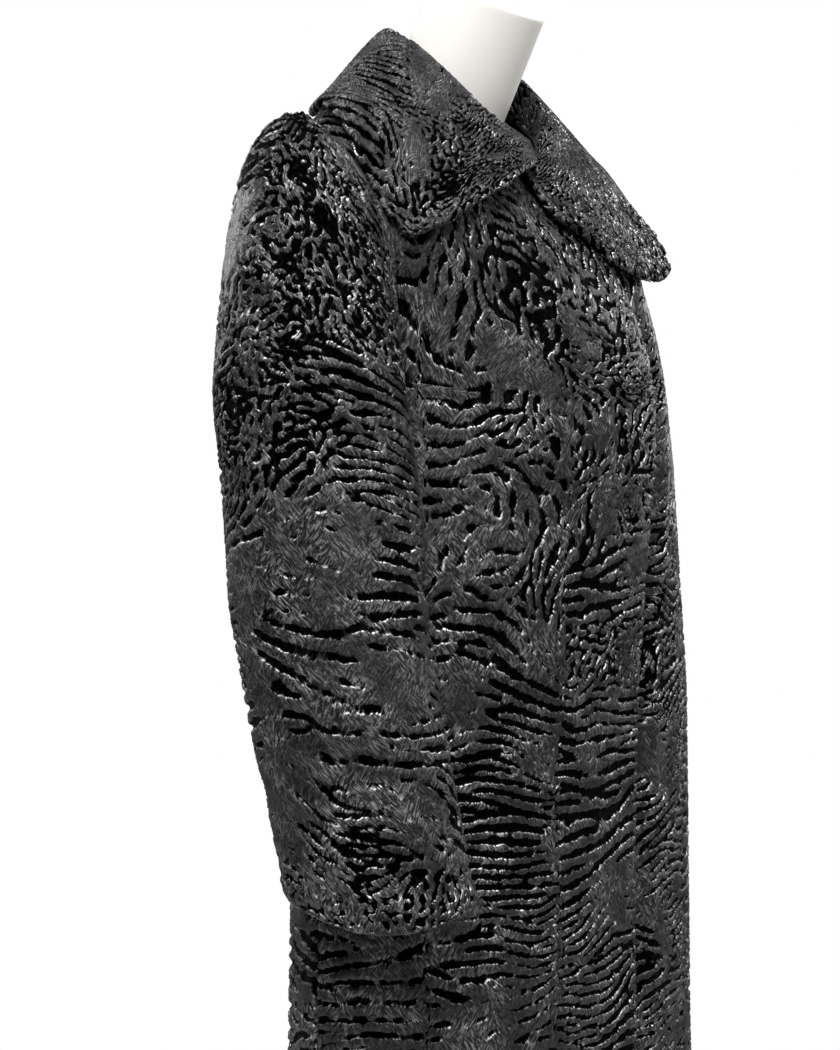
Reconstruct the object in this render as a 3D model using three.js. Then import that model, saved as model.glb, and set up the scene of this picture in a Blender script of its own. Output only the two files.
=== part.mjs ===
import * as THREE from 'three';

// A closed fur coat on a headless dress form with a pole and a round foot.
// Millimetres. +Z is up, the front faces -Y and the wearer's left is +X. The origin is the middle of the
// foot's underside. Angles run round the body from centre front (0) past the side (90) to centre back (180),
// and are negative on the wearer's right. Levels run up it: 0 hem, 1 chest line, 2 neckline.

// Driving dimensions of the coat
const hemHeight = 370;
const chestHeight = 1135;
const furWall = 3;
const turnedWall = 5.2;
const turnedEdge = 4.6;
const turnedWidth = 14;
const seamGap = 0.4;
const neckGap = 1;
const armholeGap = 0.5;
const collarWall = 4.6;
const collarEndWall = 2.2;
const leafClearance = 2.1;

// The skirt and chest, a row for each section: reach to the front and back is from the middle plane y = 0
const skirt = sections('height halfWidth front back squareFront squareBack', [
  [370, 236, 126, 124, 2.35, 2.0],
  [520, 230, 121, 117, 2.4, 2.0],
  [641, 224, 117, 111, 2.45, 2.0],
  [760, 221, 115.5, 110, 2.5, 2.0],
  [900, 213, 117, 110, 2.5, 2.05],
  [1000, 203, 121, 112, 2.25, 2.1],
  [1060, 196, 125, 115, 2.08, 2.2],
  [1100, 190, 128, 118, 1.96, 2.3],
  [1135, 186, 127.5, 120, 1.9, 2.3],
]);
const bodyAxis = sections('height y', [
  [370, 0], [900, 0], [1000, 4], [1135, 18], [1250, 28], [1350, 35], [1400, 38], [1450, 40],
]);

// The yoke, a row for each angle: the bend between chest and neckline, how tight it is, and the neckline
const yoke = mirroredSections('angle bendReach bendHeight bendWeight neckReach neckHeight', [
  [0, 144, 1214, 0.9, 60, 1316],
  [45, 154, 1272, 1.4, 72, 1342],
  [70, 183, 1328, 2.8, 74, 1363],
  [90, 198, 1352, 3.9, 72, 1375],
  [110, 181, 1314, 2.1, 68, 1376],
  [135, 138, 1294, 1.7, 64, 1382],
  [180, 114, 1326, 1.3, 61, 1390],
]);

// Soft folds of the skirt: where, how wide to each side, how far in or out at the hem, and where they end
const skirtFolds = table('angle halfAngle depth topHeight', [
  [-150, 11, 3, 760],
  [-118, 9, -3.5, 700],
  [-72, 10, 2.5, 620],
  [-34, 12, -2.5, 560],
  [30, 11, -3, 640],
  [66, 9, 3.5, 720],
  [112, 10, -4.5, 780],
  [156, 12, 4, 700],
  [180, 8, -3.5, 820],
]);

// Seams and edges
const sideSeamAngle = 94;
const shoulderSeamAngle = 91.5;
const armholeTop = 0.52;
// How far the armhole reaches round from its middle, in degrees, and how much more of that is low down
const armholeFront = { reach: -16, low: 1.75, high: 0.05 };
const armholeBack = { reach: 19, low: 1.25, high: 0.75 };
const rightEdge = sections('height x', [
  [370, 18], [800, 18], [900, 20], [1000, 25], [1105, 32], [1190, 40], [1250, 38], [1300, 20], [1316, 5],
]);
const leftEdgeX = -24;
const underlapDrop = 7.6;
const underlapFlat = 14;
const underlapEnd = 38;
const edgeRelief = 2.2 * turnedWidth;
const underlapSteps = [underlapEnd, 29, 21, underlapFlat, 0, -turnedWidth];

// Sleeves, a row for each height down the arm: out and ahead place its middle
const rightSleeve = sections('height out ahead halfWide halfDeep', [
  [768, 257, 65, 43, 61],
  [783, 257, 63, 43, 62],
  [800, 257, 58, 44, 66],
  [843, 257, 48, 45, 67.5],
  [893, 257, 36, 46, 68.5],
  [944, 255, 25, 48, 70],
  [997, 253, 14, 49, 70.5],
  [1035, 250, 10, 50, 70.7],
  [1100, 243, -2, 50, 70],
  [1140, 240, -9, 50, 69],
  [1180, 234, -12, 48, 67],
]);
const leftSleeve = sections('height out ahead halfWide halfDeep', [
  [768, 259, -38, 41, 61],
  [800, 259, -40, 42, 66],
  [893, 257, -46, 43, 69],
  [997, 251, -50, 44, 70],
  [1100, 239, -46, 44, 69],
  [1180, 225, -42, 42, 65],
]);
const sleeveClearance = 4.4;
const underarmLift = 3;
// Pulls that shape the sleeve's cap, at the middle of the armhole's height and how much more at its top
const capStartPull = { middle: 95, more: 70 };
const capEndPull = { middle: 110, more: 80 };
const capCrown = 0.4;
const cuffHeight = 774;
const cuffRise = 15.6;
const cuffLowestTurn = 22;
const capHeight = 1140;
const capRise = 40;

// Creases of a sleeve: turn round the arm (0 outer, 90 front, 180 inner), height, spread and depth
const sleeveCreases = table('turn height halfTurn halfHeight depth', [
  [112, 1004, 46, 9, 3.2],
  [128, 968, 38, 7, 2.4],
  [96, 930, 34, 8, 1.8],
  [150, 1046, 30, 8, 2.2],
  [250, 1020, 34, 9, 1.8],
  [300, 862, 40, 11, 1.6],
]);

// The collar: its roll line, and the free edge of each leaf from the throat to the corner and on to the back
const rollLine = mirroredSections('angle out y height', [
  [0, 4, -35, 1339],
  [45, 53, -20, 1363],
  [90, 72, 27, 1410],
  [135, 52, 61, 1425],
  [180, 0, 81, 1428],
]);
const leftThroatDrop = 11;
const rightLeafFront = sections('angle out y height', [
  [0, 6, -42, 1326],
  [10, 32, -56, 1319],
  [20, 66, -67, 1311],
  [30, 102, -70, 1296],
  [40, 132, -65, 1282],
  [50, 158, -55, 1264],
  [60, 179, -37, 1253],
]);
const rightLeafSide = sections('angle out y height', [
  [60, 179, -37, 1253],
  [66, 186, -19, 1274],
  [74, 188, -2, 1307],
  [82, 186, 11, 1331],
  [90, 181, 24, 1343],
  [105, 167, 46, 1352],
  [125, 131, 78, 1354],
  [145, 88, 101, 1362],
  [163, 46, 112, 1368],
  [180, 0, 115, 1370],
]);
const leftLeafFront = sections('angle out y height', [
  [4, -33, -44, 1302],
  [12, -28, -60, 1281],
  [20, -4, -72, 1274],
  [28, 16, -80, 1263],
  [36, 36, -86, 1247],
  [44, 72, -88, 1239],
  [52, 120, -84, 1241],
  [58, 163, -73, 1249],
]);
const leftLeafSide = sections('angle out y height', [
  [58, 163, -73, 1249],
  [62, 173, -67, 1258],
  [67, 179, -56, 1275],
  [74, 183, -34, 1296],
  [82, 184, -8, 1322],
  [90, 181, 18, 1343],
  [105, 167, 46, 1352],
  [125, 131, 78, 1354],
  [145, 88, 101, 1362],
  [163, 46, 112, 1368],
  [180, 0, 115, 1370],
]);

const rightLeaf = { front: rightLeafFront, side: rightLeafSide, firstAngle: 0, cornerAngle: 60 };
const leftLeaf = { front: leftLeafFront, side: leftLeafSide, firstAngle: 4, cornerAngle: 58 };
const neckSeamReach = 60;
// Pulls that round the collar's stand, its roll and the way the leaf settles
const collarStandPull = 0.7;
const collarRollPull = 0.5;
const collarRollLimit = 48;
const leafSettle = { along: 0.9, back: 0.1 };
const leafLift = { from: 1.15, to: 1.5 };

// Hooks and eyes, one pair at each height
const fastenerSpacing = 130;
const fastenerHeights = spread(3, 1235, 1235 - 3 * fastenerSpacing);
const wireRadius = 0.75;
const eyeRadius = 4.6;
const wireClearance = 0.45;
const eyeOffset = 7.9;
const hookReach = { start: -10, end: 6.2 };
const hookHeights = { under: 1.6, over: 3.3, tip: 1.9 };

// The dress form, its pole and its foot
const torso = sections('height halfWidth front back', [
  [690, 150, 84, 92],
  [700, 165, 95, 103],
  [780, 172, 96, 105],
  [900, 155, 90, 92],
  [990, 127, 87, 72],
  [1060, 138, 98, 80],
  [1135, 150, 112, 88],
]);
const torsoBottom = 690;
const torsoHeights = [690, 700, 740, 780, 840, 900, 945, 990, 1040, 1090];
const formChestLevels = [1, 1.12, 1.24, 1.34, 1.44];
const formTopLevel = 1.99;
const neckSteps = [0, 30, 60];
const torsoSquareness = 2.2;
const shoulderInset = 9;
const frontInset = 7;
const ridgeClearance = 0.62;
const ridgeHalfAngle = 7;
const centreSpread = 50;
const neckRadius = 46;
const neckTilt = THREE.MathUtils.degToRad(25.2);
const neckFoot = new THREE.Vector3(0, 40, 1368);
const neckLength = 93;
const poleRadius = 14;
const baseRadius = 175;
const baseThickness = 12;
const baseChamfer = 3;

// Finishes
const fur = finish(0x0b0b0c, 0.62, 0);
const plainWire = finish(0xb9b7ae, 0.3, 1);
const formCloth = finish(0xe9e4d8, 0.55, 0);
const paintedSteel = finish(0xd9d6cd, 0.35, 0.4);

function finish(color, roughness, metalness) {
  return new THREE.MeshStandardMaterial({ color, roughness, metalness });
}

// Reads a table's rows as objects with its named columns.
function table(names, rows) {
  const keys = names.split(' ');
  return rows.map((row) => Object.fromEntries(keys.map((key, index) => [key, row[index]])));
}

// Turns a table into one smooth curve for each column after the first.
function sections(names, rows) {
  const keys = names.split(' ');
  const places = rows.map((row) => row[0]);
  const curves = {};
  keys.slice(1).forEach((key, index) => {
    curves[key] = smoothCurve(places, rows.map((row) => row[index + 1]));
  });
  return curves;
}

// As sections, for angles from 0 to 180 that repeat as a mirror image on both sides.
function mirroredSections(names, rows) {
  const second = rows[1];
  const beforeLast = rows[rows.length - 2];
  const before = [-second[0], ...second.slice(1)];
  const after = [360 - beforeLast[0], ...beforeLast.slice(1)];
  return sections(names, [before, ...rows, after]);
}

// A cubic curve through the points that never overshoots them.
function smoothCurve(xs, ys) {
  const last = xs.length - 1;
  const slopes = [];
  for (let i = 0; i < last; i += 1) {
    slopes.push((ys[i + 1] - ys[i]) / (xs[i + 1] - xs[i]));
  }
  const tangents = [slopes[0]];
  for (let i = 1; i < last; i += 1) {
    const product = slopes[i - 1] * slopes[i];
    tangents.push(product > 0 ? (2 * product) / (slopes[i - 1] + slopes[i]) : 0);
  }
  tangents.push(slopes[last - 1]);
  return (x) => {
    const held = Math.min(Math.max(x, xs[0]), xs[last]);
    let i = 0;
    while (i < last - 1 && held > xs[i + 1]) {
      i += 1;
    }
    const width = xs[i + 1] - xs[i];
    const s = (held - xs[i]) / width;
    const s2 = s * s;
    const s3 = s2 * s;
    return ys[i] * (2 * s3 - 3 * s2 + 1) + ys[i + 1] * (3 * s2 - 2 * s3)
      + width * (tangents[i] * (s3 - 2 * s2 + s) + tangents[i + 1] * (s3 - s2));
  };
}

function radians(degrees) {
  return THREE.MathUtils.degToRad(degrees);
}

function spread(count, from, to) {
  return Array.from({ length: count + 1 }, (_, index) => from + ((to - from) * index) / count);
}

function softMax(a, b, softness) {
  return (a + b + Math.hypot(a - b, softness)) / 2;
}

function bell(offset, halfWidth) {
  return Math.exp(-((offset / halfWidth) ** 2));
}

function turnBetween(degrees, other) {
  return THREE.MathUtils.euclideanModulo(degrees - other + 180, 360) - 180;
}

// Reach of the section at a height, from the body's axis, in the direction of an angle in degrees.
function sectionReach(degrees, height, shape, squareFront, squareBack) {
  const sine = Math.abs(Math.sin(radians(degrees)));
  const cosine = Math.cos(radians(degrees));
  const axisY = bodyAxis.y(height);
  const depth = cosine > 0 ? shape.front(height) + axisY : shape.back(height) - axisY;
  const power = cosine > 0 ? squareFront : squareBack;
  return ((sine / shape.halfWidth(height)) ** power + (Math.abs(cosine) / depth) ** power) ** (-1 / power);
}

function foldDepth(degrees, height) {
  return skirtFolds.reduce((sum, fold) => {
    const rise = THREE.MathUtils.smoothstep(fold.topHeight - height, 0, fold.topHeight - hemHeight);
    return sum + fold.depth * rise * bell(turnBetween(degrees, fold.angle), fold.halfAngle);
  }, 0);
}

// Reach and height of the coat's outer surface.
function bodyProfile(degrees, level) {
  const skirtLevel = Math.min(level, 1);
  const height = hemHeight + (chestHeight - hemHeight) * skirtLevel;
  const reach = sectionReach(degrees, height, skirt, skirt.squareFront(height), skirt.squareBack(height))
    + foldDepth(degrees, height);
  if (level <= 1) {
    return { reach, height };
  }
  const angle = Math.abs(turnBetween(degrees, 0));
  const t = level - 1;
  const start = (1 - t) ** 2;
  const bend = 2 * t * (1 - t) * yoke.bendWeight(angle);
  const end = t * t;
  const total = start + bend + end;
  return {
    reach: (start * reach + bend * yoke.bendReach(angle) + end * yoke.neckReach(angle)) / total,
    height: (start * height + bend * yoke.bendHeight(angle) + end * yoke.neckHeight(angle)) / total,
  };
}

function aroundAxis(degrees, reach, height) {
  const y = bodyAxis.y(height) - reach * Math.cos(radians(degrees));
  return new THREE.Vector3(reach * Math.sin(radians(degrees)), y, height);
}

function bodyPoint(degrees, level) {
  const { reach, height } = bodyProfile(degrees, level);
  return aroundAxis(degrees, reach, height);
}

// Outward normal and upward direction of the coat's surface.
function bodyFrame(degrees, level) {
  const step = 0.01;
  const top = Math.min(level + step, 2);
  const round = bodyPoint(degrees + 1, level).sub(bodyPoint(degrees - 1, level));
  const up = bodyPoint(degrees, top).sub(bodyPoint(degrees, top - 2 * step)).normalize();
  return { up, normal: round.cross(up).normalize() };
}

// Angle and reach of a point from the body's axis at its height.
function fromAxis(point) {
  const forward = bodyAxis.y(point.z) - point.y;
  return {
    degrees: THREE.MathUtils.radToDeg(Math.atan2(point.x, forward)),
    reach: Math.hypot(point.x, forward),
  };
}

// Angle and level of the yoke's surface nearest to a point: a search up the point's own angle, then short
// steps over the surface.
function nearestOnYoke(point) {
  const start = fromAxis(point);
  const levels = spread(22, 0.9, 2);
  const distances = levels.map((level) => {
    const step = bodyProfile(start.degrees, level);
    return Math.hypot(step.reach - start.reach, step.height - point.z);
  });
  let { degrees } = start;
  let level = levels[distances.indexOf(Math.min(...distances))];
  for (let round = 0; round < 8; round += 1) {
    const at = bodyPoint(degrees, level);
    const aroundStep = bodyPoint(degrees + 1, level).sub(at);
    const upStep = bodyPoint(degrees, level + 0.02).sub(at);
    const offset = point.clone().sub(at);
    const [rr, ru, uu] = [aroundStep.dot(aroundStep), aroundStep.dot(upStep), upStep.dot(upStep)];
    const [or, ou] = [offset.dot(aroundStep), offset.dot(upStep)];
    const determinant = rr * uu - ru * ru + 1e-6;
    degrees += 0.8 * THREE.MathUtils.clamp((or * uu - ou * ru) / determinant, -6, 6);
    level += 0.8 * 0.02 * THREE.MathUtils.clamp((ou * rr - or * ru) / determinant, -4, 4);
    level = THREE.MathUtils.clamp(level, 0.9, 1.98);
  }
  return { degrees, level };
}

// Moves a point out from the yoke's surface until it clears it by a distance.
function clearOfYoke(point, clearance, softness) {
  const { degrees, level } = nearestOnYoke(point);
  const { normal } = bodyFrame(degrees, level);
  const distance = point.clone().sub(bodyPoint(degrees, level)).dot(normal);
  return point.clone().addScaledVector(normal, softMax(distance, clearance, softness) - distance);
}

// Moves a point out from the skirt or chest until it clears it by a distance.
function clearOfSkirt(point, clearance, softness) {
  const height = Math.min(point.z, chestHeight);
  const { degrees, reach } = fromAxis(new THREE.Vector3(point.x, point.y, height));
  const least = bodyProfile(degrees, (height - hemHeight) / (chestHeight - hemHeight)).reach + clearance;
  const moved = aroundAxis(degrees, softMax(reach, least, softness), height);
  return moved.setZ(point.z);
}

// Share of the armhole's height, from 0 at the underarm to 1 at its top.
function armholeShare(level) {
  return (level - 1) / armholeTop;
}

// Angle of the seam at a panel's side: side seam, armhole, then shoulder seam.
function seamAngle(level, hollow) {
  const share = THREE.MathUtils.clamp(armholeShare(level), 0, 1);
  const centre = THREE.MathUtils.lerp(sideSeamAngle, shoulderSeamAngle, share);
  const skew = THREE.MathUtils.lerp(hollow.low, hollow.high, share);
  return centre + 2 * hollow.reach * skew * Math.sqrt(share * (1 - share));
}

// Levels of a panel's rows: the turned hem, the skirt, the armhole and the shoulder.
const armholeSteps = 10;
const shoulderLevels = spread(5, 1 + armholeTop, 2);
const lowestFastener = fastenerHeights[fastenerHeights.length - 1];
const skirtHeights = [
  hemHeight,
  hemHeight + turnedWidth,
  hemHeight + turnedWidth + 4,
  ...spread(3, lowestFastener - 3 * fastenerSpacing, lowestFastener),
  ...spread(4, lowestFastener, lowestFastener + 2 * fastenerSpacing).slice(1),
];
const panelLevels = [
  ...skirtHeights.map((height) => (height - hemHeight) / (chestHeight - hemHeight)),
  ...spread(armholeSteps, 0, Math.PI).map((turn) => 1 + (armholeTop * (1 - Math.cos(turn))) / 2),
  ...shoulderLevels.slice(1),
];

// A closed wall between the grids of points of its two faces, open or running all round.
function wall(face, otherFace, runsRound) {
  const rows = face.length;
  const columns = face[0].length;
  const positions = [...face.flat(), ...otherFace.flat()].flatMap((point) => point.toArray());
  const at = (layer, row, column) => (layer * rows + row) * columns + (column % columns);
  const indices = [];
  const quad = (a, b, c, d) => indices.push(a, b, c, a, c, d);
  const spans = runsRound ? columns : columns - 1;
  for (let row = 0; row < rows - 1; row += 1) {
    for (let column = 0; column < spans; column += 1) {
      const next = column + 1;
      quad(at(0, row, column), at(0, row, next), at(0, row + 1, next), at(0, row + 1, column));
      quad(at(1, row, column), at(1, row + 1, column), at(1, row + 1, next), at(1, row, next));
    }
  }
  const top = rows - 1;
  for (let column = 0; column < spans; column += 1) {
    const next = column + 1;
    quad(at(0, 0, next), at(0, 0, column), at(1, 0, column), at(1, 0, next));
    quad(at(0, top, column), at(0, top, next), at(1, top, next), at(1, top, column));
  }
  if (!runsRound) {
    for (let row = 0; row < top; row += 1) {
      quad(at(0, row, 0), at(0, row + 1, 0), at(1, row + 1, 0), at(1, row, 0));
      quad(at(0, row, spans), at(1, row, spans), at(1, row + 1, spans), at(0, row + 1, spans));
    }
  }
  return closedGeometry(positions, indices);
}

// Faces point outwards whichever way the points were listed.
function closedGeometry(positions, indices) {
  const corner = (index) => new THREE.Vector3().fromArray(positions, 3 * index);
  let volume = 0;
  for (let i = 0; i < indices.length; i += 3) {
    const [a, b, c] = [corner(indices[i]), corner(indices[i + 1]), corner(indices[i + 2])];
    volume += a.dot(b.cross(c));
  }
  const geometry = new THREE.BufferGeometry();
  geometry.setAttribute('position', new THREE.Float32BufferAttribute(positions, 3));
  geometry.setIndex(volume > 0 ? indices : [...indices].reverse());
  geometry.computeVertexNormals();
  return geometry;
}

// The other face of a wall whose first face is a grid of points. Normals come from each point's neighbours,
// and the sign says to which side the wall grows.
function otherFaceOf(grid, runsRound, sign, thicknessAt) {
  const rows = grid.length;
  const columns = grid[0].length;
  return grid.map((line, row) => line.map((point, column) => {
    const before = runsRound ? (column + columns - 1) % columns : Math.max(column - 1, 0);
    const after = runsRound ? (column + 1) % columns : Math.min(column + 1, columns - 1);
    const along = line[after].clone().sub(line[before]);
    const up = grid[Math.min(row + 1, rows - 1)][column].clone().sub(grid[Math.max(row - 1, 0)][column]);
    const normal = along.cross(up).normalize().multiplyScalar(sign);
    return point.clone().addScaledVector(normal, -thicknessAt(row, column));
  }));
}

// A body panel from its grid of angles at each level. The drop lowers a stretch that lies under another.
function panel(anglesAt, thicknessAt, dropAt) {
  const outer = [];
  const inner = [];
  panelLevels.forEach((level, row) => {
    const angles = anglesAt(level);
    const frames = angles.map((degrees) => bodyFrame(degrees, level));
    const points = angles.map((degrees, column) => {
      const point = bodyPoint(degrees, level);
      return point.addScaledVector(frames[column].normal, -dropAt(point));
    });
    outer.push(points);
    inner.push(points.map((point, column) => {
      return point.clone().addScaledVector(frames[column].normal, -thicknessAt(row, column));
    }));
  });
  return wall(outer, inner, false);
}

function gapAngle(level, degrees) {
  return THREE.MathUtils.radToDeg(seamGap / 2 / bodyProfile(degrees, level).reach);
}

function hemThickness(row) {
  return row < 2 ? turnedWall : furWall;
}

function makeBack() {
  const columns = 18;
  const anglesAt = (level) => {
    const edge = seamAngle(level, armholeBack);
    const side = edge + gapAngle(level, edge);
    return spread(columns, -side, side - 360);
  };
  return panel(anglesAt, hemThickness, () => 0);
}

function edgeAngle(level, x) {
  return THREE.MathUtils.radToDeg(Math.asin(x / bodyProfile(0, level).reach));
}

// Angles of a front from its side seam to its edge, by way of its columns near the edge.
function frontAngles(level, side, columns, edgeXs) {
  const seam = seamAngle(level, armholeFront);
  const start = side * (seam - gapAngle(level, seam));
  const nearEdge = edgeXs.map((x) => edgeAngle(level, x));
  return [...spread(columns, start, nearEdge[0]), ...nearEdge.slice(1)];
}

function frontThickness(anglesAt) {
  const turnedColumn = anglesAt(0).length - 2;
  return (row, column) => (column >= turnedColumn ? turnedEdge : hemThickness(row));
}

function makeFrontRight() {
  const anglesAt = (level) => {
    const edge = rightEdge.x(bodyProfile(0, level).height);
    return frontAngles(level, -1, 9, [edge - edgeRelief, edge - turnedWidth, edge]);
  };
  return panel(anglesAt, frontThickness(anglesAt), () => 0);
}

function makeFrontLeft() {
  const anglesAt = (level) => {
    const over = rightEdge.x(bodyProfile(0, level).height);
    const steps = underlapSteps.map((beyond) => over + beyond);
    return frontAngles(level, 1, 7, [...steps, leftEdgeX + turnedWidth, leftEdgeX]);
  };
  return panel(anglesAt, frontThickness(anglesAt), underlap);
}

// How far the left front lies below the coat's surface where the right front covers it.
function underlap(point) {
  const beyond = point.x - rightEdge.x(point.z);
  return point.y < 0 ? underlapDrop * (1 - THREE.MathUtils.smoothstep(beyond, underlapFlat, underlapEnd)) : 0;
}

// Point of the armhole's seam. The turn is 0 at the top, 90 at the front and 180 under the arm.
function armholePoint(side, turn) {
  const share = (1 + Math.cos(radians(turn))) / 2;
  const level = 1 + armholeTop * share;
  const hollow = Math.sin(radians(turn)) > 0 ? armholeFront : armholeBack;
  const degrees = side * seamAngle(level, hollow);
  return { point: bodyPoint(degrees, level), degrees, level };
}

// Direction along the coat's surface from the armhole's seam into the hole.
function intoArmhole(side, turn, normal) {
  const step = 4;
  const along = armholePoint(side, turn + step).point.sub(armholePoint(side, turn - step).point);
  return normal.clone().cross(along).multiplyScalar(side).normalize();
}

function creaseDepth(turn, height) {
  return sleeveCreases.reduce((sum, crease) => {
    const slant = height - crease.height + 0.22 * turnBetween(turn, crease.turn);
    return sum + crease.depth * bell(turnBetween(turn, crease.turn), crease.halfTurn)
      * bell(slant, crease.halfHeight);
  }, 0);
}

function sleevePoint(side, shape, turn, height) {
  const inward = creaseDepth(turn, height);
  const wide = shape.halfWide(height) - inward;
  const deep = shape.halfDeep(height) - inward;
  const out = shape.out(height) + wide * Math.cos(radians(turn));
  const ahead = shape.ahead(height) + deep * Math.sin(radians(turn));
  return clearOfSkirt(new THREE.Vector3(side * out, -ahead, height), sleeveClearance, 2);
}

function hermite(start, startPull, end, endPull, s) {
  const s2 = s * s;
  const s3 = s2 * s;
  return start.clone().multiplyScalar(2 * s3 - 3 * s2 + 1)
    .addScaledVector(startPull, s3 - 2 * s2 + s)
    .addScaledVector(end, 3 * s2 - 2 * s3)
    .addScaledVector(endPull, s3 - s2);
}

// The sleeve's cap, from the armhole (0) to the upper arm (1).
function capPoint(side, shape, turn, s) {
  const cosine = Math.cos(radians(turn));
  const seam = armholePoint(side, turn);
  const { normal } = bodyFrame(seam.degrees, seam.level);
  const into = intoArmhole(side, turn, normal);
  const lift = underarmLift * THREE.MathUtils.smoothstep(-cosine, 0.3, 0.85);
  const start = seam.point.clone().addScaledVector(into, armholeGap).addScaledVector(normal, lift);
  const strength = capStartPull.middle + capStartPull.more * cosine;
  const startPull = into.clone().multiplyScalar(strength * 0.12 * (1 - cosine))
    .addScaledVector(normal, strength * (0.9 + capCrown * Math.max(0, cosine) ** 2));
  const ringHeight = capHeight + capRise * cosine;
  const end = sleevePoint(side, shape, turn, ringHeight);
  const step = 10;
  const below = sleevePoint(side, shape, turn, ringHeight - step);
  const endPull = below.sub(end).multiplyScalar((capEndPull.middle + capEndPull.more * cosine) / step);
  const point = hermite(start, startPull, end, endPull, s);
  const clearance = armholeGap + (sleeveClearance - armholeGap) * s;
  if (point.z < chestHeight) {
    return clearOfSkirt(point, clearance, 0.5);
  }
  return s > 0 ? clearOfYoke(point, clearance * Math.min(1, 3 * s), 0.5) : point;
}

function makeSleeve(side, shape) {
  const turns = spread(2 * armholeSteps, 0, 360).slice(0, -1);
  const rows = spread(6, 0, 1).map((s) => turns.map((turn) => capPoint(side, shape, turn, s)));
  spread(9, 0, 1).slice(1).forEach((s) => {
    rows.push(turns.map((turn) => {
      const top = capHeight + capRise * Math.cos(radians(turn));
      const bottom = cuffHeight + cuffRise * Math.sin(radians(turn - cuffLowestTurn)) ** 2;
      return sleevePoint(side, shape, turn, THREE.MathUtils.lerp(top, bottom, s));
    }));
  });
  const thicknessAt = (row) => (row === rows.length - 1 ? turnedEdge : furWall);
  const outer = otherFaceOf(rows, true, -side, thicknessAt);
  outer[0] = outer[0].map((point, column) => clearOfArmhole(side, turns[column], point));
  return wall(rows, outer, true);
}

// Moves a point into the armhole until it clears the hole's edge.
function clearOfArmhole(side, turn, point) {
  const seam = armholePoint(side, turn);
  const { normal } = bodyFrame(seam.degrees, seam.level);
  const into = intoArmhole(side, turn, normal);
  const shortfall = armholeGap - point.clone().sub(seam.point).dot(into);
  return point.clone().addScaledVector(into, Math.max(0, shortfall));
}

// Seam, roll and free edge of the collar at an angle round the neck.
function collarSpoke(side, angle, leaf) {
  const edgeCurve = angle < leaf.cornerAngle ? leaf.front : leaf.side;
  const frame = bodyFrame(side * angle, 2);
  const seam = bodyPoint(side * angle, 2).addScaledVector(frame.normal, -furWall)
    .addScaledVector(frame.up, neckGap);
  const roll = new THREE.Vector3(side * rollLine.out(angle), rollLine.y(angle), rollLine.height(angle));
  const edge = new THREE.Vector3(side * edgeCurve.out(angle), edgeCurve.y(angle), edgeCurve.height(angle));
  if (side > 0) {
    roll.z -= leftThroatDrop * (1 - THREE.MathUtils.smoothstep(angle, 4, 40));
  }
  return { seam, roll, edge, up: frame.up, normal: frame.normal };
}

// A point across the collar: 0 at the seam, 1 on the roll, 2 at the free edge.
function collarPoint(spoke, across) {
  const fall = spoke.edge.clone().sub(spoke.roll);
  const outward = new THREE.Vector3(fall.x, fall.y, 0).normalize();
  const standLength = spoke.roll.distanceTo(spoke.seam);
  if (across <= 1) {
    const rise = spoke.up.clone().multiplyScalar(standLength * collarStandPull);
    outward.multiplyScalar(standLength * collarStandPull);
    return hermite(spoke.seam, rise, spoke.roll, outward, across);
  }
  const turned = outward.clone().multiplyScalar(Math.min(fall.length(), collarRollLimit) * collarRollPull);
  const settle = fall.clone().multiplyScalar(leafSettle.along)
    .addScaledVector(outward, -fall.length() * leafSettle.back);
  const point = hermite(spoke.roll, turned, spoke.edge, settle, across - 1);
  const cleared = clearOfYoke(point, collarWall + leafClearance, 1.5);
  return point.lerp(cleared, THREE.MathUtils.smoothstep(across, leafLift.from, leafLift.to));
}

function makeCollarHalf(side, leaf) {
  const backGap = THREE.MathUtils.radToDeg(seamGap / 2 / neckSeamReach);
  const frontAngles = spread(9, leaf.firstAngle, leaf.cornerAngle).slice(0, -1);
  const angles = [...frontAngles, ...spread(13, leaf.cornerAngle, 180 - backGap)];
  const acrosses = [...spread(3, 0, 1), ...spread(9, 1, 2).slice(1)];
  const spokes = angles.map((angle) => collarSpoke(side, angle, leaf));
  const rows = acrosses.map((across) => spokes.map((spoke) => collarPoint(spoke, across)));
  rows.forEach((row) => {
    const lastPoint = row[row.length - 1];
    lastPoint.x = (side * seamGap) / 2;
  });
  const thicknessAt = (row, column) => {
    const share = THREE.MathUtils.smoothstep(angles[column], 0, 26);
    return THREE.MathUtils.lerp(collarEndWall, collarWall, share);
  };
  const inner = otherFaceOf(rows, false, -side, thicknessAt);
  inner[0] = spokes.map((spoke, column) => {
    return spoke.seam.clone().addScaledVector(spoke.normal, thicknessAt(0, column));
  });
  inner.forEach((row) => {
    row[row.length - 1].x = (side * seamGap) / 2;
  });
  return wall(rows, inner, false);
}

// The dress form: a ring of points for each height of the torso, each level of the yoke and the neck.
// Its points stand on the shoulder seams, where the coat rests.
function formRing(pointAt) {
  const front = spread(14, -shoulderSeamAngle, shoulderSeamAngle).slice(0, -1);
  const back = spread(14, shoulderSeamAngle, 360 - shoulderSeamAngle).slice(0, -1);
  return [...front, ...back].map(pointAt);
}

function torsoReach(degrees, height) {
  return sectionReach(degrees, height, torso, torsoSquareness, torsoSquareness);
}

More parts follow.
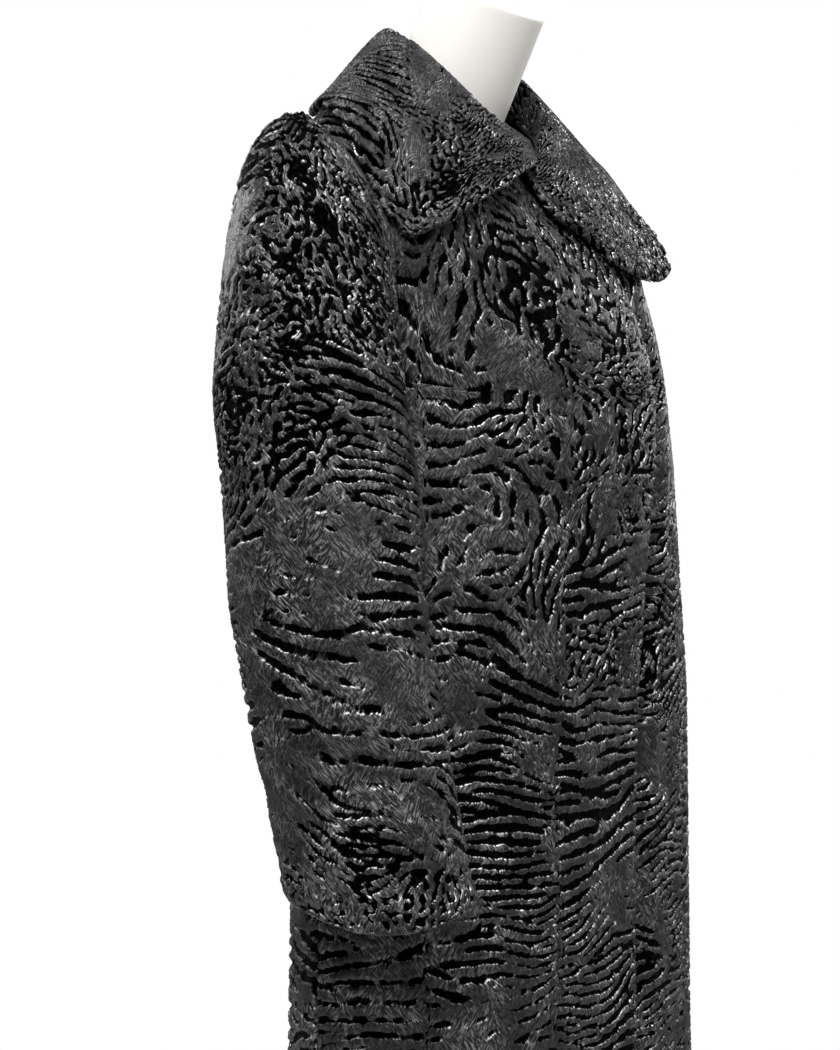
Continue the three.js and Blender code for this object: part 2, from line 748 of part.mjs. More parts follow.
function formYokePoint(degrees, level) {
  const { reach, height } = bodyProfile(degrees, level);
  const { normal } = bodyFrame(degrees, level);
  const angle = Math.abs(turnBetween(degrees, 0));
  const chestInset = reach - torsoReach(degrees, Math.min(height, chestHeight));
  const rise = THREE.MathUtils.smoothstep(level, 1, 1.46);
  const yokeInset = shoulderInset + frontInset * bell(angle, centreSpread);
  const inset = THREE.MathUtils.lerp(chestInset, yokeInset, rise);
  const ridge = bell(angle - shoulderSeamAngle, ridgeHalfAngle) * THREE.MathUtils.smoothstep(level, 1.5, 1.6);
  const rest = THREE.MathUtils.lerp(inset, furWall + ridgeClearance, ridge);
  return aroundAxis(degrees, reach, height).addScaledVector(normal, -rest);
}

function neckPoint(degrees, along) {
  const sine = Math.sin(radians(degrees));
  const cosine = Math.cos(radians(degrees));
  const centre = neckFoot.clone().add(new THREE.Vector3(0, -Math.sin(neckTilt), Math.cos(neckTilt))
    .multiplyScalar(along));
  const across = new THREE.Vector3(sine, -cosine * Math.cos(neckTilt), -cosine * Math.sin(neckTilt));
  return centre.addScaledVector(across, neckRadius);
}

function makeForm() {
  const formLevels = [...formChestLevels, ...shoulderLevels.slice(0, -1), formTopLevel];
  const rings = [
    ...torsoHeights.map((height) => formRing((degrees) => {
      return aroundAxis(degrees, torsoReach(degrees, height), height);
    })),
    ...formLevels.map((level) => formRing((degrees) => formYokePoint(degrees, level))),
    ...[...neckSteps, neckLength].map((along) => formRing((degrees) => neckPoint(degrees, along))),
  ];
  const columns = rings[0].length;
  const points = rings.flat();
  const indices = [];
  for (let row = 0; row < rings.length - 1; row += 1) {
    for (let column = 0; column < columns; column += 1) {
      const next = (column + 1) % columns;
      const [a, b] = [row * columns + column, row * columns + next];
      indices.push(a, b, b + columns, a, b + columns, a + columns);
    }
  }
  const lastRing = (rings.length - 1) * columns;
  const bottomCentre = points.push(new THREE.Vector3(0, 0, torsoBottom)) - 1;
  const topCentre = points.push(neckPoint(0, neckLength).lerp(neckPoint(180, neckLength), 0.5)) - 1;
  for (let column = 0; column < columns; column += 1) {
    const next = (column + 1) % columns;
    indices.push(bottomCentre, next, column, topCentre, lastRing + column, lastRing + next);
  }
  return closedGeometry(points.flatMap((point) => point.toArray()), indices);
}

function makePole() {
  const length = torsoBottom - baseThickness - 2 * seamGap;
  const geometry = new THREE.CylinderGeometry(poleRadius, poleRadius, length, 20);
  return geometry.rotateX(Math.PI / 2).translate(0, 0, baseThickness + seamGap + length / 2);
}

function makeBase() {
  const rim = baseRadius - baseChamfer;
  const profile = [[0, 0], [rim, 0], [baseRadius, baseChamfer], [baseRadius, baseThickness - baseChamfer],
    [rim, baseThickness], [0, baseThickness]].map(([x, y]) => new THREE.Vector2(x, y));
  return new THREE.LatheGeometry(profile, 32).rotateX(Math.PI / 2);
}

// Frame of a fastener on the left front, at the right front's edge.
function fastenerFrame(height) {
  const level = levelAt(height);
  const degrees = edgeAngle(level, rightEdge.x(height));
  const point = bodyPoint(degrees, level);
  const { normal, up } = bodyFrame(degrees, level);
  point.addScaledVector(normal, -underlap(point));
  const across = up.clone().cross(normal).normalize();
  return { point, normal, up, across };
}

// Level of the centre front at a height, found by halving.
function levelAt(height) {
  let low = 0;
  let high = 2;
  for (let halving = 0; halving < 24; halving += 1) {
    const middle = (low + high) / 2;
    if (bodyProfile(0, middle).height < height) {
      low = middle;
    } else {
      high = middle;
    }
  }
  return low;
}

function placed(geometry, frame, lift) {
  const matrix = new THREE.Matrix4().makeBasis(frame.across, frame.up, frame.normal);
  matrix.setPosition(frame.point.clone().addScaledVector(frame.normal, lift));
  return geometry.applyMatrix4(matrix);
}

function makeEye(height) {
  const ring = new THREE.TorusGeometry(eyeRadius, wireRadius, 5, 10).translate(eyeOffset, 0, 0);
  return placed(ring, fastenerFrame(height), wireRadius + wireClearance);
}

// A bent wire that leaves the right front's underside, passes over the eye's near side and turns back.
class HookCurve extends THREE.Curve {
  getPoint(share, target = new THREE.Vector3()) {
    const x = share < 0.8 ? hookReach.start + (hookReach.end - hookReach.start) * (share / 0.8)
      : hookReach.end - 10 * (share - 0.8) ** 2;
    const crossing = bell(x - eyeOffset + eyeRadius, 2.6);
    const z = hookHeights.under + (hookHeights.over - hookHeights.under) * crossing
      - (hookHeights.over - hookHeights.tip) * THREE.MathUtils.smoothstep(share, 0.72, 1);
    return target.set(x, 0, z);
  }
}

function makeHook(height) {
  const section = new THREE.Shape();
  section.absarc(0, 0, wireRadius, 0, 2 * Math.PI, false);
  const wire = new THREE.ExtrudeGeometry(section, {
    steps: 8, curveSegments: 3, extrudePath: new HookCurve(),
  });
  return placed(wire, fastenerFrame(height), 0);
}

function node(name, geometry, material) {
  const mesh = new THREE.Mesh(geometry, material);
  mesh.name = name;
  return mesh;
}

const coat = new THREE.Group();
coat.add(node('back', makeBack(), fur));
coat.add(node('front_right', makeFrontRight(), fur));
coat.add(node('front_left', makeFrontLeft(), fur));
coat.add(node('sleeve_right', makeSleeve(-1, rightSleeve), fur));
coat.add(node('sleeve_left', makeSleeve(1, leftSleeve), fur));
coat.add(node('collar_right', makeCollarHalf(-1, rightLeaf), fur));
coat.add(node('collar_left', makeCollarHalf(1, leftLeaf), fur));
fastenerHeights.forEach((height, index) => {
  coat.add(node(`hook_${index + 1}`, makeHook(height), plainWire));
  coat.add(node(`eye_${index + 1}`, makeEye(height), plainWire));
});
coat.add(node('form', makeForm(), formCloth));
coat.add(node('pole', makePole(), paintedSteel));
coat.add(node('base', makeBase(), paintedSteel));

export default coat;
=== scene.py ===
import math
import bmesh
import bpy
import numpy as np
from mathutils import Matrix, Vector


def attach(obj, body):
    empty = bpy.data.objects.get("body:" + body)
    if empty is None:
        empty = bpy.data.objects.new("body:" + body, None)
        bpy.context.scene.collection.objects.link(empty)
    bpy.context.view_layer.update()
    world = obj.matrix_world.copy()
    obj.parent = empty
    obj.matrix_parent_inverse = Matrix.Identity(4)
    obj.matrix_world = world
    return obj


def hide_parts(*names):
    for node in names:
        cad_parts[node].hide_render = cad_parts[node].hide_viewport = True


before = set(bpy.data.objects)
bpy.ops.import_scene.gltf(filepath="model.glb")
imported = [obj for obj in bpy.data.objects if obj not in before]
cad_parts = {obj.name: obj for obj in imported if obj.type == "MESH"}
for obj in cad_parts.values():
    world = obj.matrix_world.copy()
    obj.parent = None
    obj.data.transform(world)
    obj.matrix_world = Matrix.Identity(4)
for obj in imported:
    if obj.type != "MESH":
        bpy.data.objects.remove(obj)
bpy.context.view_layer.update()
print("frame loaded,", len(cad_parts), "nodes")

millimetre = 0.001  # the shapes below are worked out in millimetres and made in metres

# Camera: level, from the coat's right front, far off as with a long lens
photoView = {"toward": (0.857, 0.515), "distance": 2200, "height": 1046, "aside": -53.8, "lens": 98.06,
             "sensor": 36}


def addCamera(view):
    alongX, alongY = view["toward"]
    x = -alongX * view["distance"] + alongY * view["aside"]
    y = -alongY * view["distance"] - alongX * view["aside"]
    data = bpy.data.cameras.new("photoCamera")
    data.lens = view["lens"]
    data.sensor_width = view["sensor"]
    camera = bpy.data.objects.new("photoCamera", data)
    camera.location = (x * millimetre, y * millimetre, view["height"] * millimetre)
    camera.rotation_euler = (math.pi / 2, 0, math.atan2(-alongX, alongY))
    bpy.context.scene.collection.objects.link(camera)
    bpy.context.scene.camera = camera


addCamera(photoView)
print("camera set")


# Curves through short tables
def smoothCurve(places, values):
    xs, ys = np.array(places, float), np.array(values, float)
    widths = np.diff(xs)
    slopes = np.diff(ys) / widths
    product = slopes[:-1] * slopes[1:]
    total = np.where(product > 0, slopes[:-1] + slopes[1:], 1)
    tangents = np.concatenate([slopes[:1], np.where(product > 0, 2 * product / total, 0), slopes[-1:]])

    def at(x):
        held = np.clip(x, xs[0], xs[-1])
        i = np.clip(np.searchsorted(xs, held, side="right") - 1, 0, len(xs) - 2)
        s = (held - xs[i]) / widths[i]
        s2, s3 = s * s, s * s * s
        line = ys[i] * (2 * s3 - 3 * s2 + 1) + ys[i + 1] * (3 * s2 - 2 * s3)
        return line + widths[i] * (tangents[i] * (s3 - 2 * s2 + s) + tangents[i + 1] * (s3 - s2))
    return at


def curvesOf(names, rows):
    columns = np.array(rows, float).T
    return {key: smoothCurve(columns[0], column) for key, column in zip(names.split()[1:], columns[1:])}


def mirroredCurves(names, rows):  # angles from 0 to 180, the same on both sides
    before = [-rows[1][0], *rows[1][1:]]
    after = [360 - rows[-2][0], *rows[-2][1:]]
    return curvesOf(names, [before, *rows, after])


def turnBetween(degrees, other):
    return np.mod(degrees - other + 180, 360) - 180


def bell(offset, halfWidth):
    return np.exp(-((offset / halfWidth) ** 2))


def smoothStep(x, low, high):
    s = np.clip((x - low) / (high - low), 0, 1)
    return s * s * (3 - 2 * s)


def softMax(a, b, softness):
    return (a + b + np.hypot(a - b, softness)) / 2


def sine(degrees):
    return np.sin(np.radians(degrees))


def cosine(degrees):
    return np.cos(np.radians(degrees))


def unit(vectors):
    return vectors / np.maximum(np.linalg.norm(vectors, axis=-1, keepdims=True), 1e-9)


def dot(a, b):
    return (a * b).sum(-1)


# The body of the coat: angles run round it from centre front (0), levels from the hem (0) past the chest (1)
# to the neckline (2)
body = {
    "hem": 370, "chest": 1135, "wall": 3, "seamGap": 0.12, "turnedWall": 5.2, "turnedWidth": 14,
    "turnedEdge": 4.6, "sideSeam": 94, "shoulderSeam": 91.5, "armholeTop": 0.52,
    "armholeFront": (-16, 1.75, 0.05), "armholeBack": (19, 1.25, 0.75),
    "leftEdge": -24, "underlapDrop": 7.6, "underlapFlat": 14, "underlapEnd": 38,
}
skirt = curvesOf("height halfWidth front back squareFront squareBack", [
    [370, 236, 126, 124, 2.35, 2.0],
    [520, 230, 121, 117, 2.4, 2.0],
    [641, 224, 117, 111, 2.45, 2.0],
    [760, 221, 115.5, 110, 2.5, 2.0],
    [900, 213, 117, 110, 2.5, 2.05],
    [1000, 203, 121, 112, 2.25, 2.1],
    [1060, 196, 125, 115, 2.08, 2.2],
    [1100, 190, 128, 118, 1.96, 2.3],
    [1135, 186, 127.5, 120, 1.9, 2.3],
])
bodyAxis = curvesOf("height y", [
    [370, 0], [900, 0], [1000, 4], [1135, 18], [1250, 28], [1350, 35], [1400, 38], [1450, 40],
])
yoke = mirroredCurves("angle bendReach bendHeight bendWeight neckReach neckHeight", [
    [0, 144, 1214, 0.9, 60, 1316],
    [45, 154, 1272, 1.4, 72, 1342],
    [70, 183, 1328, 2.8, 74, 1363],
    [90, 198, 1352, 3.9, 72, 1375],
    [110, 181, 1314, 2.1, 68, 1376],
    [135, 138, 1294, 1.7, 64, 1382],
    [180, 114, 1326, 1.3, 61, 1390],
])
rightEdge = curvesOf("height x", [
    [370, 18], [800, 18], [900, 20], [1000, 25], [1105, 32], [1190, 40], [1250, 38], [1300, 20], [1316, 5],
])
skirtFolds = [  # angle, halfAngle, depth at the hem, topHeight
    (-150, 11, 3, 760), (-118, 9, -3.5, 700), (-72, 10, 2.5, 620), (-34, 12, -2.5, 560), (30, 11, -3, 640),
    (66, 9, 3.5, 720), (112, 10, -4.5, 780), (156, 12, 4, 700), (180, 8, -3.5, 820),
]


def sectionReach(degrees, height, shape, squareFront, squareBack):
    toFront = cosine(degrees)
    axisY = bodyAxis["y"](height)
    depth = np.where(toFront > 0, shape["front"](height) + axisY, shape["back"](height) - axisY)
    power = np.where(toFront > 0, squareFront, squareBack)
    wide = np.abs(sine(degrees)) / shape["halfWidth"](height)
    return (wide ** power + (np.abs(toFront) / depth) ** power) ** (-1 / power)


def foldDepth(degrees, height):
    total = np.zeros(np.shape(height))
    for angle, halfAngle, depth, topHeight in skirtFolds:
        rise = smoothStep(topHeight - height, 0, topHeight - body["hem"])
        total = total + depth * rise * bell(turnBetween(degrees, angle), halfAngle)
    return total


def bodyProfile(degrees, level):
    degrees, level = np.broadcast_arrays(np.asarray(degrees, float), np.asarray(level, float))
    height = body["hem"] + (body["chest"] - body["hem"]) * np.minimum(level, 1)
    reach = sectionReach(degrees, height, skirt, skirt["squareFront"](height), skirt["squareBack"](height))
    reach = reach + foldDepth(degrees, height)
    angle = np.abs(turnBetween(degrees, 0))
    t = np.maximum(level - 1, 0)
    start, bend, end = (1 - t) ** 2, 2 * t * (1 - t) * yoke["bendWeight"](angle), t * t
    total = start + bend + end
    reach = (start * reach + bend * yoke["bendReach"](angle) + end * yoke["neckReach"](angle)) / total
    height = (start * height + bend * yoke["bendHeight"](angle) + end * yoke["neckHeight"](angle)) / total
    return reach, height


def aroundAxis(degrees, reach, height):
    x = reach * sine(degrees)
    y = bodyAxis["y"](height) - reach * cosine(degrees)
    return np.stack(np.broadcast_arrays(x, y, height), -1)


def bodyPoint(degrees, level):
    reach, height = bodyProfile(degrees, level)
    return aroundAxis(degrees, reach, height)


def bodyDirections(degrees, level):  # outward normal and the way up
    step = 0.01  # a short way up, in levels
    top = np.minimum(level + step, 2)
    around = bodyPoint(degrees + 1, level) - bodyPoint(degrees - 1, level)
    up = unit(bodyPoint(degrees, top) - bodyPoint(degrees, top - 2 * step))
    return unit(np.cross(around, up)), up


chestLine = {"belowScale": 765, "aboveScale": 230, "spread": 12, "reach": 34, "weights": (1, 4, 6, 4, 1)}


def drapedPoint(degrees, level):  # the body's surface with the chest line eased
    scale = np.where(level < 1, chestLine["belowScale"], chestLine["aboveScale"])
    along = (level - 1) * scale
    spread = chestLine["spread"] * bell(along, chestLine["reach"])
    total = 0
    for index, weight in enumerate(chestLine["weights"]):
        moved = along + (index - 2) * spread
        scale = np.where(moved < 0, chestLine["belowScale"], chestLine["aboveScale"])
        total = total + weight * bodyPoint(degrees, 1 + moved / scale)
    return total / sum(chestLine["weights"])


def fromAxis(points):
    forward = bodyAxis["y"](points[..., 2]) - points[..., 1]
    return np.degrees(np.arctan2(points[..., 0], forward)), np.hypot(points[..., 0], forward)


yokeSearch = {"lowest": 0.9, "highest": 1.98, "tries": 23, "rounds": 8, "pace": 0.8, "levelStep": 0.02,
              "mostAround": 6, "mostUp": 4}


def clearOfYoke(points, clearance, softness):  # finds each point's nearest place on the yoke and lifts it off
    shape = points.shape
    points = points.reshape(-1, 3)
    degrees, reach = fromAxis(points)
    levels = np.linspace(yokeSearch["lowest"], 2, yokeSearch["tries"])
    stepReach, stepHeight = bodyProfile(degrees[:, None], levels[None, :])
    nearest = np.hypot(stepReach - reach[:, None], stepHeight - points[:, 2:3]).argmin(1)
    level = levels[nearest]
    mostAround, mostUp = yokeSearch["mostAround"], yokeSearch["mostUp"]
    for _ in range(yokeSearch["rounds"]):
        at = bodyPoint(degrees, level)
        around = bodyPoint(degrees + 1, level) - at
        up = bodyPoint(degrees, level + yokeSearch["levelStep"]) - at
        offset = points - at
        rr, ru, uu = dot(around, around), dot(around, up), dot(up, up)
        onRound, onUp = dot(offset, around), dot(offset, up)
        determinant = rr * uu - ru * ru + 1e-6  # never zero
        turned = np.clip((onRound * uu - onUp * ru) / determinant, -mostAround, mostAround)
        raised = np.clip((onUp * rr - onRound * ru) / determinant, -mostUp, mostUp)
        degrees = degrees + yokeSearch["pace"] * turned
        level = level + yokeSearch["pace"] * yokeSearch["levelStep"] * raised
        level = np.clip(level, yokeSearch["lowest"], yokeSearch["highest"])
    normal, _ = bodyDirections(degrees, level)
    distance = dot(points - bodyPoint(degrees, level), normal)
    needed = np.broadcast_to(clearance, shape[:-1]).reshape(-1)
    moved = points + normal * (softMax(distance, needed, softness) - distance)[:, None]
    return moved.reshape(shape)


def clearOfSkirt(points, clearance, softness):
    height = np.minimum(points[..., 2], body["chest"])
    degrees, reach = fromAxis(np.stack([points[..., 0], points[..., 1], height], -1))
    level = (height - body["hem"]) / (body["chest"] - body["hem"])
    least = bodyProfile(degrees, level)[0] + clearance
    moved = aroundAxis(degrees, softMax(reach, least, softness), height)
    return np.concatenate([moved[..., :2], points[..., 2:]], -1)


def seamAngle(level, hollow):
    reach, low, high = hollow
    share = np.clip((level - 1) / body["armholeTop"], 0, 1)
    centre = body["sideSeam"] + (body["shoulderSeam"] - body["sideSeam"]) * share
    return centre + 2 * reach * (low + (high - low) * share) * np.sqrt(share * (1 - share))


# Fur: ridges and hollows of flat curled lamb, grown from seeded noise along directions laid out one by one.
# A patch has a place (x along, y up), how far it reaches, the way its ridges run in degrees, the distance
# between them, how straight they are (0 to 1) and how much of it lies flat (-1 to 1). Sizes are in mm.
furGrid = {
    "step": 1.2, "margin": 24, "skinShift": 36,
    "bend": (0.12, 0.9), "bendSize": 14, "wander": 0.34, "wanderFrom": 1.15, "wanderSize": 6,
    "periods": (5.0, 7.0, 9.5, 12.5, 17.0), "finer": 0.9, "periodChange": 0.16, "periodSize": 16,
    "waveWidths": 5.72, "outerWidth": 1.6, "strokes": (-0.8, -0.4, 0, 0.4, 0.8), "evenSize": 12,
    "rounds": 8, "earlyRound": 1, "gain": 1.15, "straightens": (0.45, 0.9),
    "flatCalm": 0.3, "bald": 0.95, "baldSize": 14, "baldRange": (0.5, 1.6),
    "loose": 0.3, "looseFrom": 1.1, "looseSize": 7, "fullness": 0.14, "swell": 0.22, "swellSize": 20,
    "pits": 0.9, "pitSize": 3.2, "pitRange": (1.7, 2.4), "crinkle": 0.3, "crinkleSize": 1.6,
}


def grownNoise(random, shape, sigma):
    rows, columns = shape
    fy = np.fft.fftfreq(rows)[:, None]
    fx = np.fft.rfftfreq(columns)[None, :]
    keep = np.exp(-2 * (math.pi * sigma) ** 2 * (fx ** 2 + fy ** 2))
    grown = np.fft.irfft2(np.fft.rfft2(random.standard_normal(shape)) * keep, shape)
    return grown / grown.std()


def sampled(field, x, y):
    inset = 1.001  # keeps the place just inside the last cell
    x = np.clip(x, 0, field.shape[1] - inset)
    y = np.clip(y, 0, field.shape[0] - inset)
    i, j = y.astype(int), x.astype(int)
    a, b = y - i, x - j
    top = field[i, j] * (1 - b) + field[i, j + 1] * b
    low = field[i + 1, j] * (1 - b) + field[i + 1, j + 1] * b
    return top * (1 - a) + low * a


def growFur(left, right, height, patches, seed):
    random = np.random.default_rng(seed)
    step, margin = furGrid["step"], furGrid["margin"]
    columns = int((right - left + 2 * margin) / step)
    rows = int((height + 2 * margin) / step)
    gx, gy = np.meshgrid(np.arange(columns), np.arange(rows))
    x, y = gx * step - margin + left, gy * step - margin

    def noise(size):
        return grownNoise(random, x.shape, size / step)
    total, twoX, twoY, period, order, flat = [np.zeros(x.shape) for _ in range(6)]
    for px, py, reachX, reachY, angle, patchPeriod, patchOrder, patchFlat in patches:
        weight = np.exp(-((x - px) / reachX) ** 2 - ((y - py) / reachY) ** 2) + 1e-9
        total += weight
        twoX += weight * cosine(2 * angle)  # twice the angle, because a ridge has no head or tail
        twoY += weight * sine(2 * angle)
        period += weight * patchPeriod
        order += weight * patchOrder
        flat += weight * patchFlat
    period, order, flat = period / total, order / total, flat / total
    least, more = furGrid["bend"]
    direction = np.arctan2(twoY, twoX) / 2
    direction += noise(furGrid["bendSize"]) * (least + more * (1 - order))
    direction += noise(furGrid["wanderSize"]) * furGrid["wander"] * (furGrid["wanderFrom"] - order)
    along, up = np.cos(direction), np.sin(direction)
    fy = np.fft.fftfreq(rows)[:, None]
    fx = np.fft.rfftfreq(columns)[None, :]
    square = 2 * (math.pi ** 2) * (fx ** 2 + fy ** 2)
    scales = np.array(furGrid["periods"])
    period = period * furGrid["finer"] * (1 + furGrid["periodChange"] * noise(furGrid["periodSize"]))
    place = np.interp(period, scales, np.arange(len(scales)))
    bands = []
    for scale in scales:
        sigma = scale / furGrid["waveWidths"] / step
        bands.append(np.exp(-square * sigma ** 2) - np.exp(-square * (furGrid["outerWidth"] * sigma) ** 2))
    evened = np.exp(-square * (furGrid["evenSize"] / step) ** 2)
    field = random.standard_normal(x.shape)
    for turn in range(furGrid["rounds"]):  # smeared along the ridges, held to their period, then sharpened
        length = order * period / step
        strokes = [sampled(field, gx + along * length * k, gy + up * length * k) for k in furGrid["strokes"]]
        spectrum = np.fft.rfft2(sum(strokes) / len(strokes))
        passed = [np.fft.irfft2(spectrum * band, x.shape) for band in bands]
        field = sum(one * np.clip(1 - np.abs(place - k), 0, 1) for k, one in enumerate(passed))
        near = np.fft.irfft2(np.fft.rfft2(field ** 2) * evened, x.shape)
        field = np.tanh(furGrid["gain"] * field / np.sqrt(np.maximum(near, 1e-8)))
        if turn == furGrid["earlyRound"]:
            early = field.copy()
    field = early + (field - early) * smoothStep(order, *furGrid["straightens"])
    baldLow, baldHigh = furGrid["baldRange"]
    bald = smoothStep(noise(furGrid["baldSize"]), baldLow - flat, baldHigh - flat)
    field = field * (1 - furGrid["flatCalm"] * np.abs(flat)) + flat + furGrid["bald"] * bald
    field = field + furGrid["loose"] * noise(furGrid["looseSize"]) * (furGrid["looseFrom"] - order)
    field = field + furGrid["fullness"] + furGrid["swell"] * noise(furGrid["swellSize"])
    field = field - furGrid["pits"] * smoothStep(noise(furGrid["pitSize"]), *furGrid["pitRange"])
    field = field + furGrid["crinkle"] * noise(furGrid["crinkleSize"])

    def at(px, py):
        return sampled(field, (px - left + margin) / step, (py + margin) / step)
    return at


# Shells: a fine fur side with rounded rims and a plain inner side, closed all round. A grid's columns run to
# the right and its rows up, as seen from outside.
shellSteps = {
    "rim": (36, 72, 108, 144, 180),  # turns of the rounded edge, in degrees
    "inner": 12, "leastInner": 4,  # fine lines to one line of the inner side, and its fewest lines
    "napFades": (80, 175), "rimBack": 125,  # where the fur thins out round the edge, and where it ends
    "uvUnit": 100,  # millimetres
}


def gridFaces(numbers, wraps):
    if wraps:
        numbers = np.concatenate([numbers, numbers[:, :1]], 1)
    corners = [numbers[:-1, :-1], numbers[:-1, 1:], numbers[1:, 1:], numbers[1:, :-1]]
    return np.stack(corners, -1).reshape(-1, 4)


def stitched(fine, coarse, turned):  # joins two lines of points of different fineness by triangles
    faces = []
    i = j = 0
    lastFine, lastCoarse = len(fine) - 1, len(coarse) - 1
    while i < lastFine or j < lastCoarse:
        if j == lastCoarse or (i < lastFine and (i + 1) / lastFine <= (j + 1) / lastCoarse):
            face = (int(fine[i]), int(fine[i + 1]), int(coarse[j]))
            i += 1
        else:
            face = (int(fine[i]), int(coarse[j + 1]), int(coarse[j]))
            j += 1
        faces.append(face[::-1] if turned else face)
    return faces


def slopesAlong(points, axis, wraps):
    if wraps and axis == 1:
        return np.roll(points, -1, 1) - np.roll(points, 1, 1)
    return np.gradient(points, axis=axis)


def outwardNormals(points, wraps):
    return unit(np.cross(slopesAlong(points, 1, wraps), slopesAlong(points, 0, wraps)))


def distancesAlong(points, axis):
    steps = np.linalg.norm(np.diff(points, axis=axis), axis=-1)
    return np.concatenate([np.zeros_like(np.take(steps, [0], axis)), np.cumsum(steps, axis)], axis)


def awayFrom(border, normal, side, wraps):  # out of the cloth, square to its border
    along = slopesAlong(border[None], 1, wraps)[0]
    return side * unit(np.cross(along, normal))


def withRims(points, normals, radius, wraps):
    angles = np.array(shellSteps["rim"])
    count = len(angles)
    rows, columns = points.shape[:2]
    turnRow = np.concatenate([angles[::-1], np.zeros(rows), angles])
    rowIndex = np.clip(np.arange(rows + 2 * count) - count, 0, rows - 1)
    sides = 0 if wraps else count
    turnColumn = np.concatenate([angles[::-1][:sides], np.zeros(columns), angles[:sides]])
    columnIndex = np.clip(np.arange(columns + 2 * sides) - sides, 0, columns - 1)
    pick = np.ix_(rowIndex, columnIndex)
    rowOut, columnOut = np.zeros(points.shape), np.zeros(points.shape)
    rowOut[0] = awayFrom(points[0], normals[0], 1, wraps)
    rowOut[-1] = awayFrom(points[-1], normals[-1], -1, wraps)
    if not wraps:
        columnOut[:, 0] = awayFrom(points[:, 0], normals[:, 0], -1, False)
        columnOut[:, -1] = awayFrom(points[:, -1], normals[:, -1], 1, False)
    tr, tc = np.broadcast_arrays(turnRow[:, None], turnColumn[None, :])
    out = rowOut[pick] * (sine(tr) * cosine(tc / 2))[..., None]
    out = out + columnOut[pick] * (sine(tc) * cosine(tr / 2))[..., None]
    turn = np.maximum(tr, tc)
    reach, normal = radius[pick][..., None], normals[pick]
    rounded = points[pick] + reach * (out - normal * (1 - cosine(turn))[..., None])
    bent = unit(normal * cosine(turn)[..., None] + out)
    sideX = np.radians(tc) * np.sign(columnIndex - columns / 2)[None, :] * radius[pick]
    sideY = np.radians(tr) * np.sign(rowIndex - rows / 2)[:, None] * radius[pick]
    return rounded, bent, turn, pick, sideX, sideY


def linkMesh(name, vertices, faces, materials):
    mesh = bpy.data.meshes.new(name)
    mesh.from_pydata((vertices * millimetre).tolist(), [], faces)
    mesh.polygons.foreach_set("use_smooth", np.ones(len(mesh.polygons), bool))
    for material in materials:
        mesh.materials.append(material)
    mesh.update()
    piece = bpy.data.objects.new(name, mesh)
    bpy.context.scene.collection.objects.link(piece)
    return piece


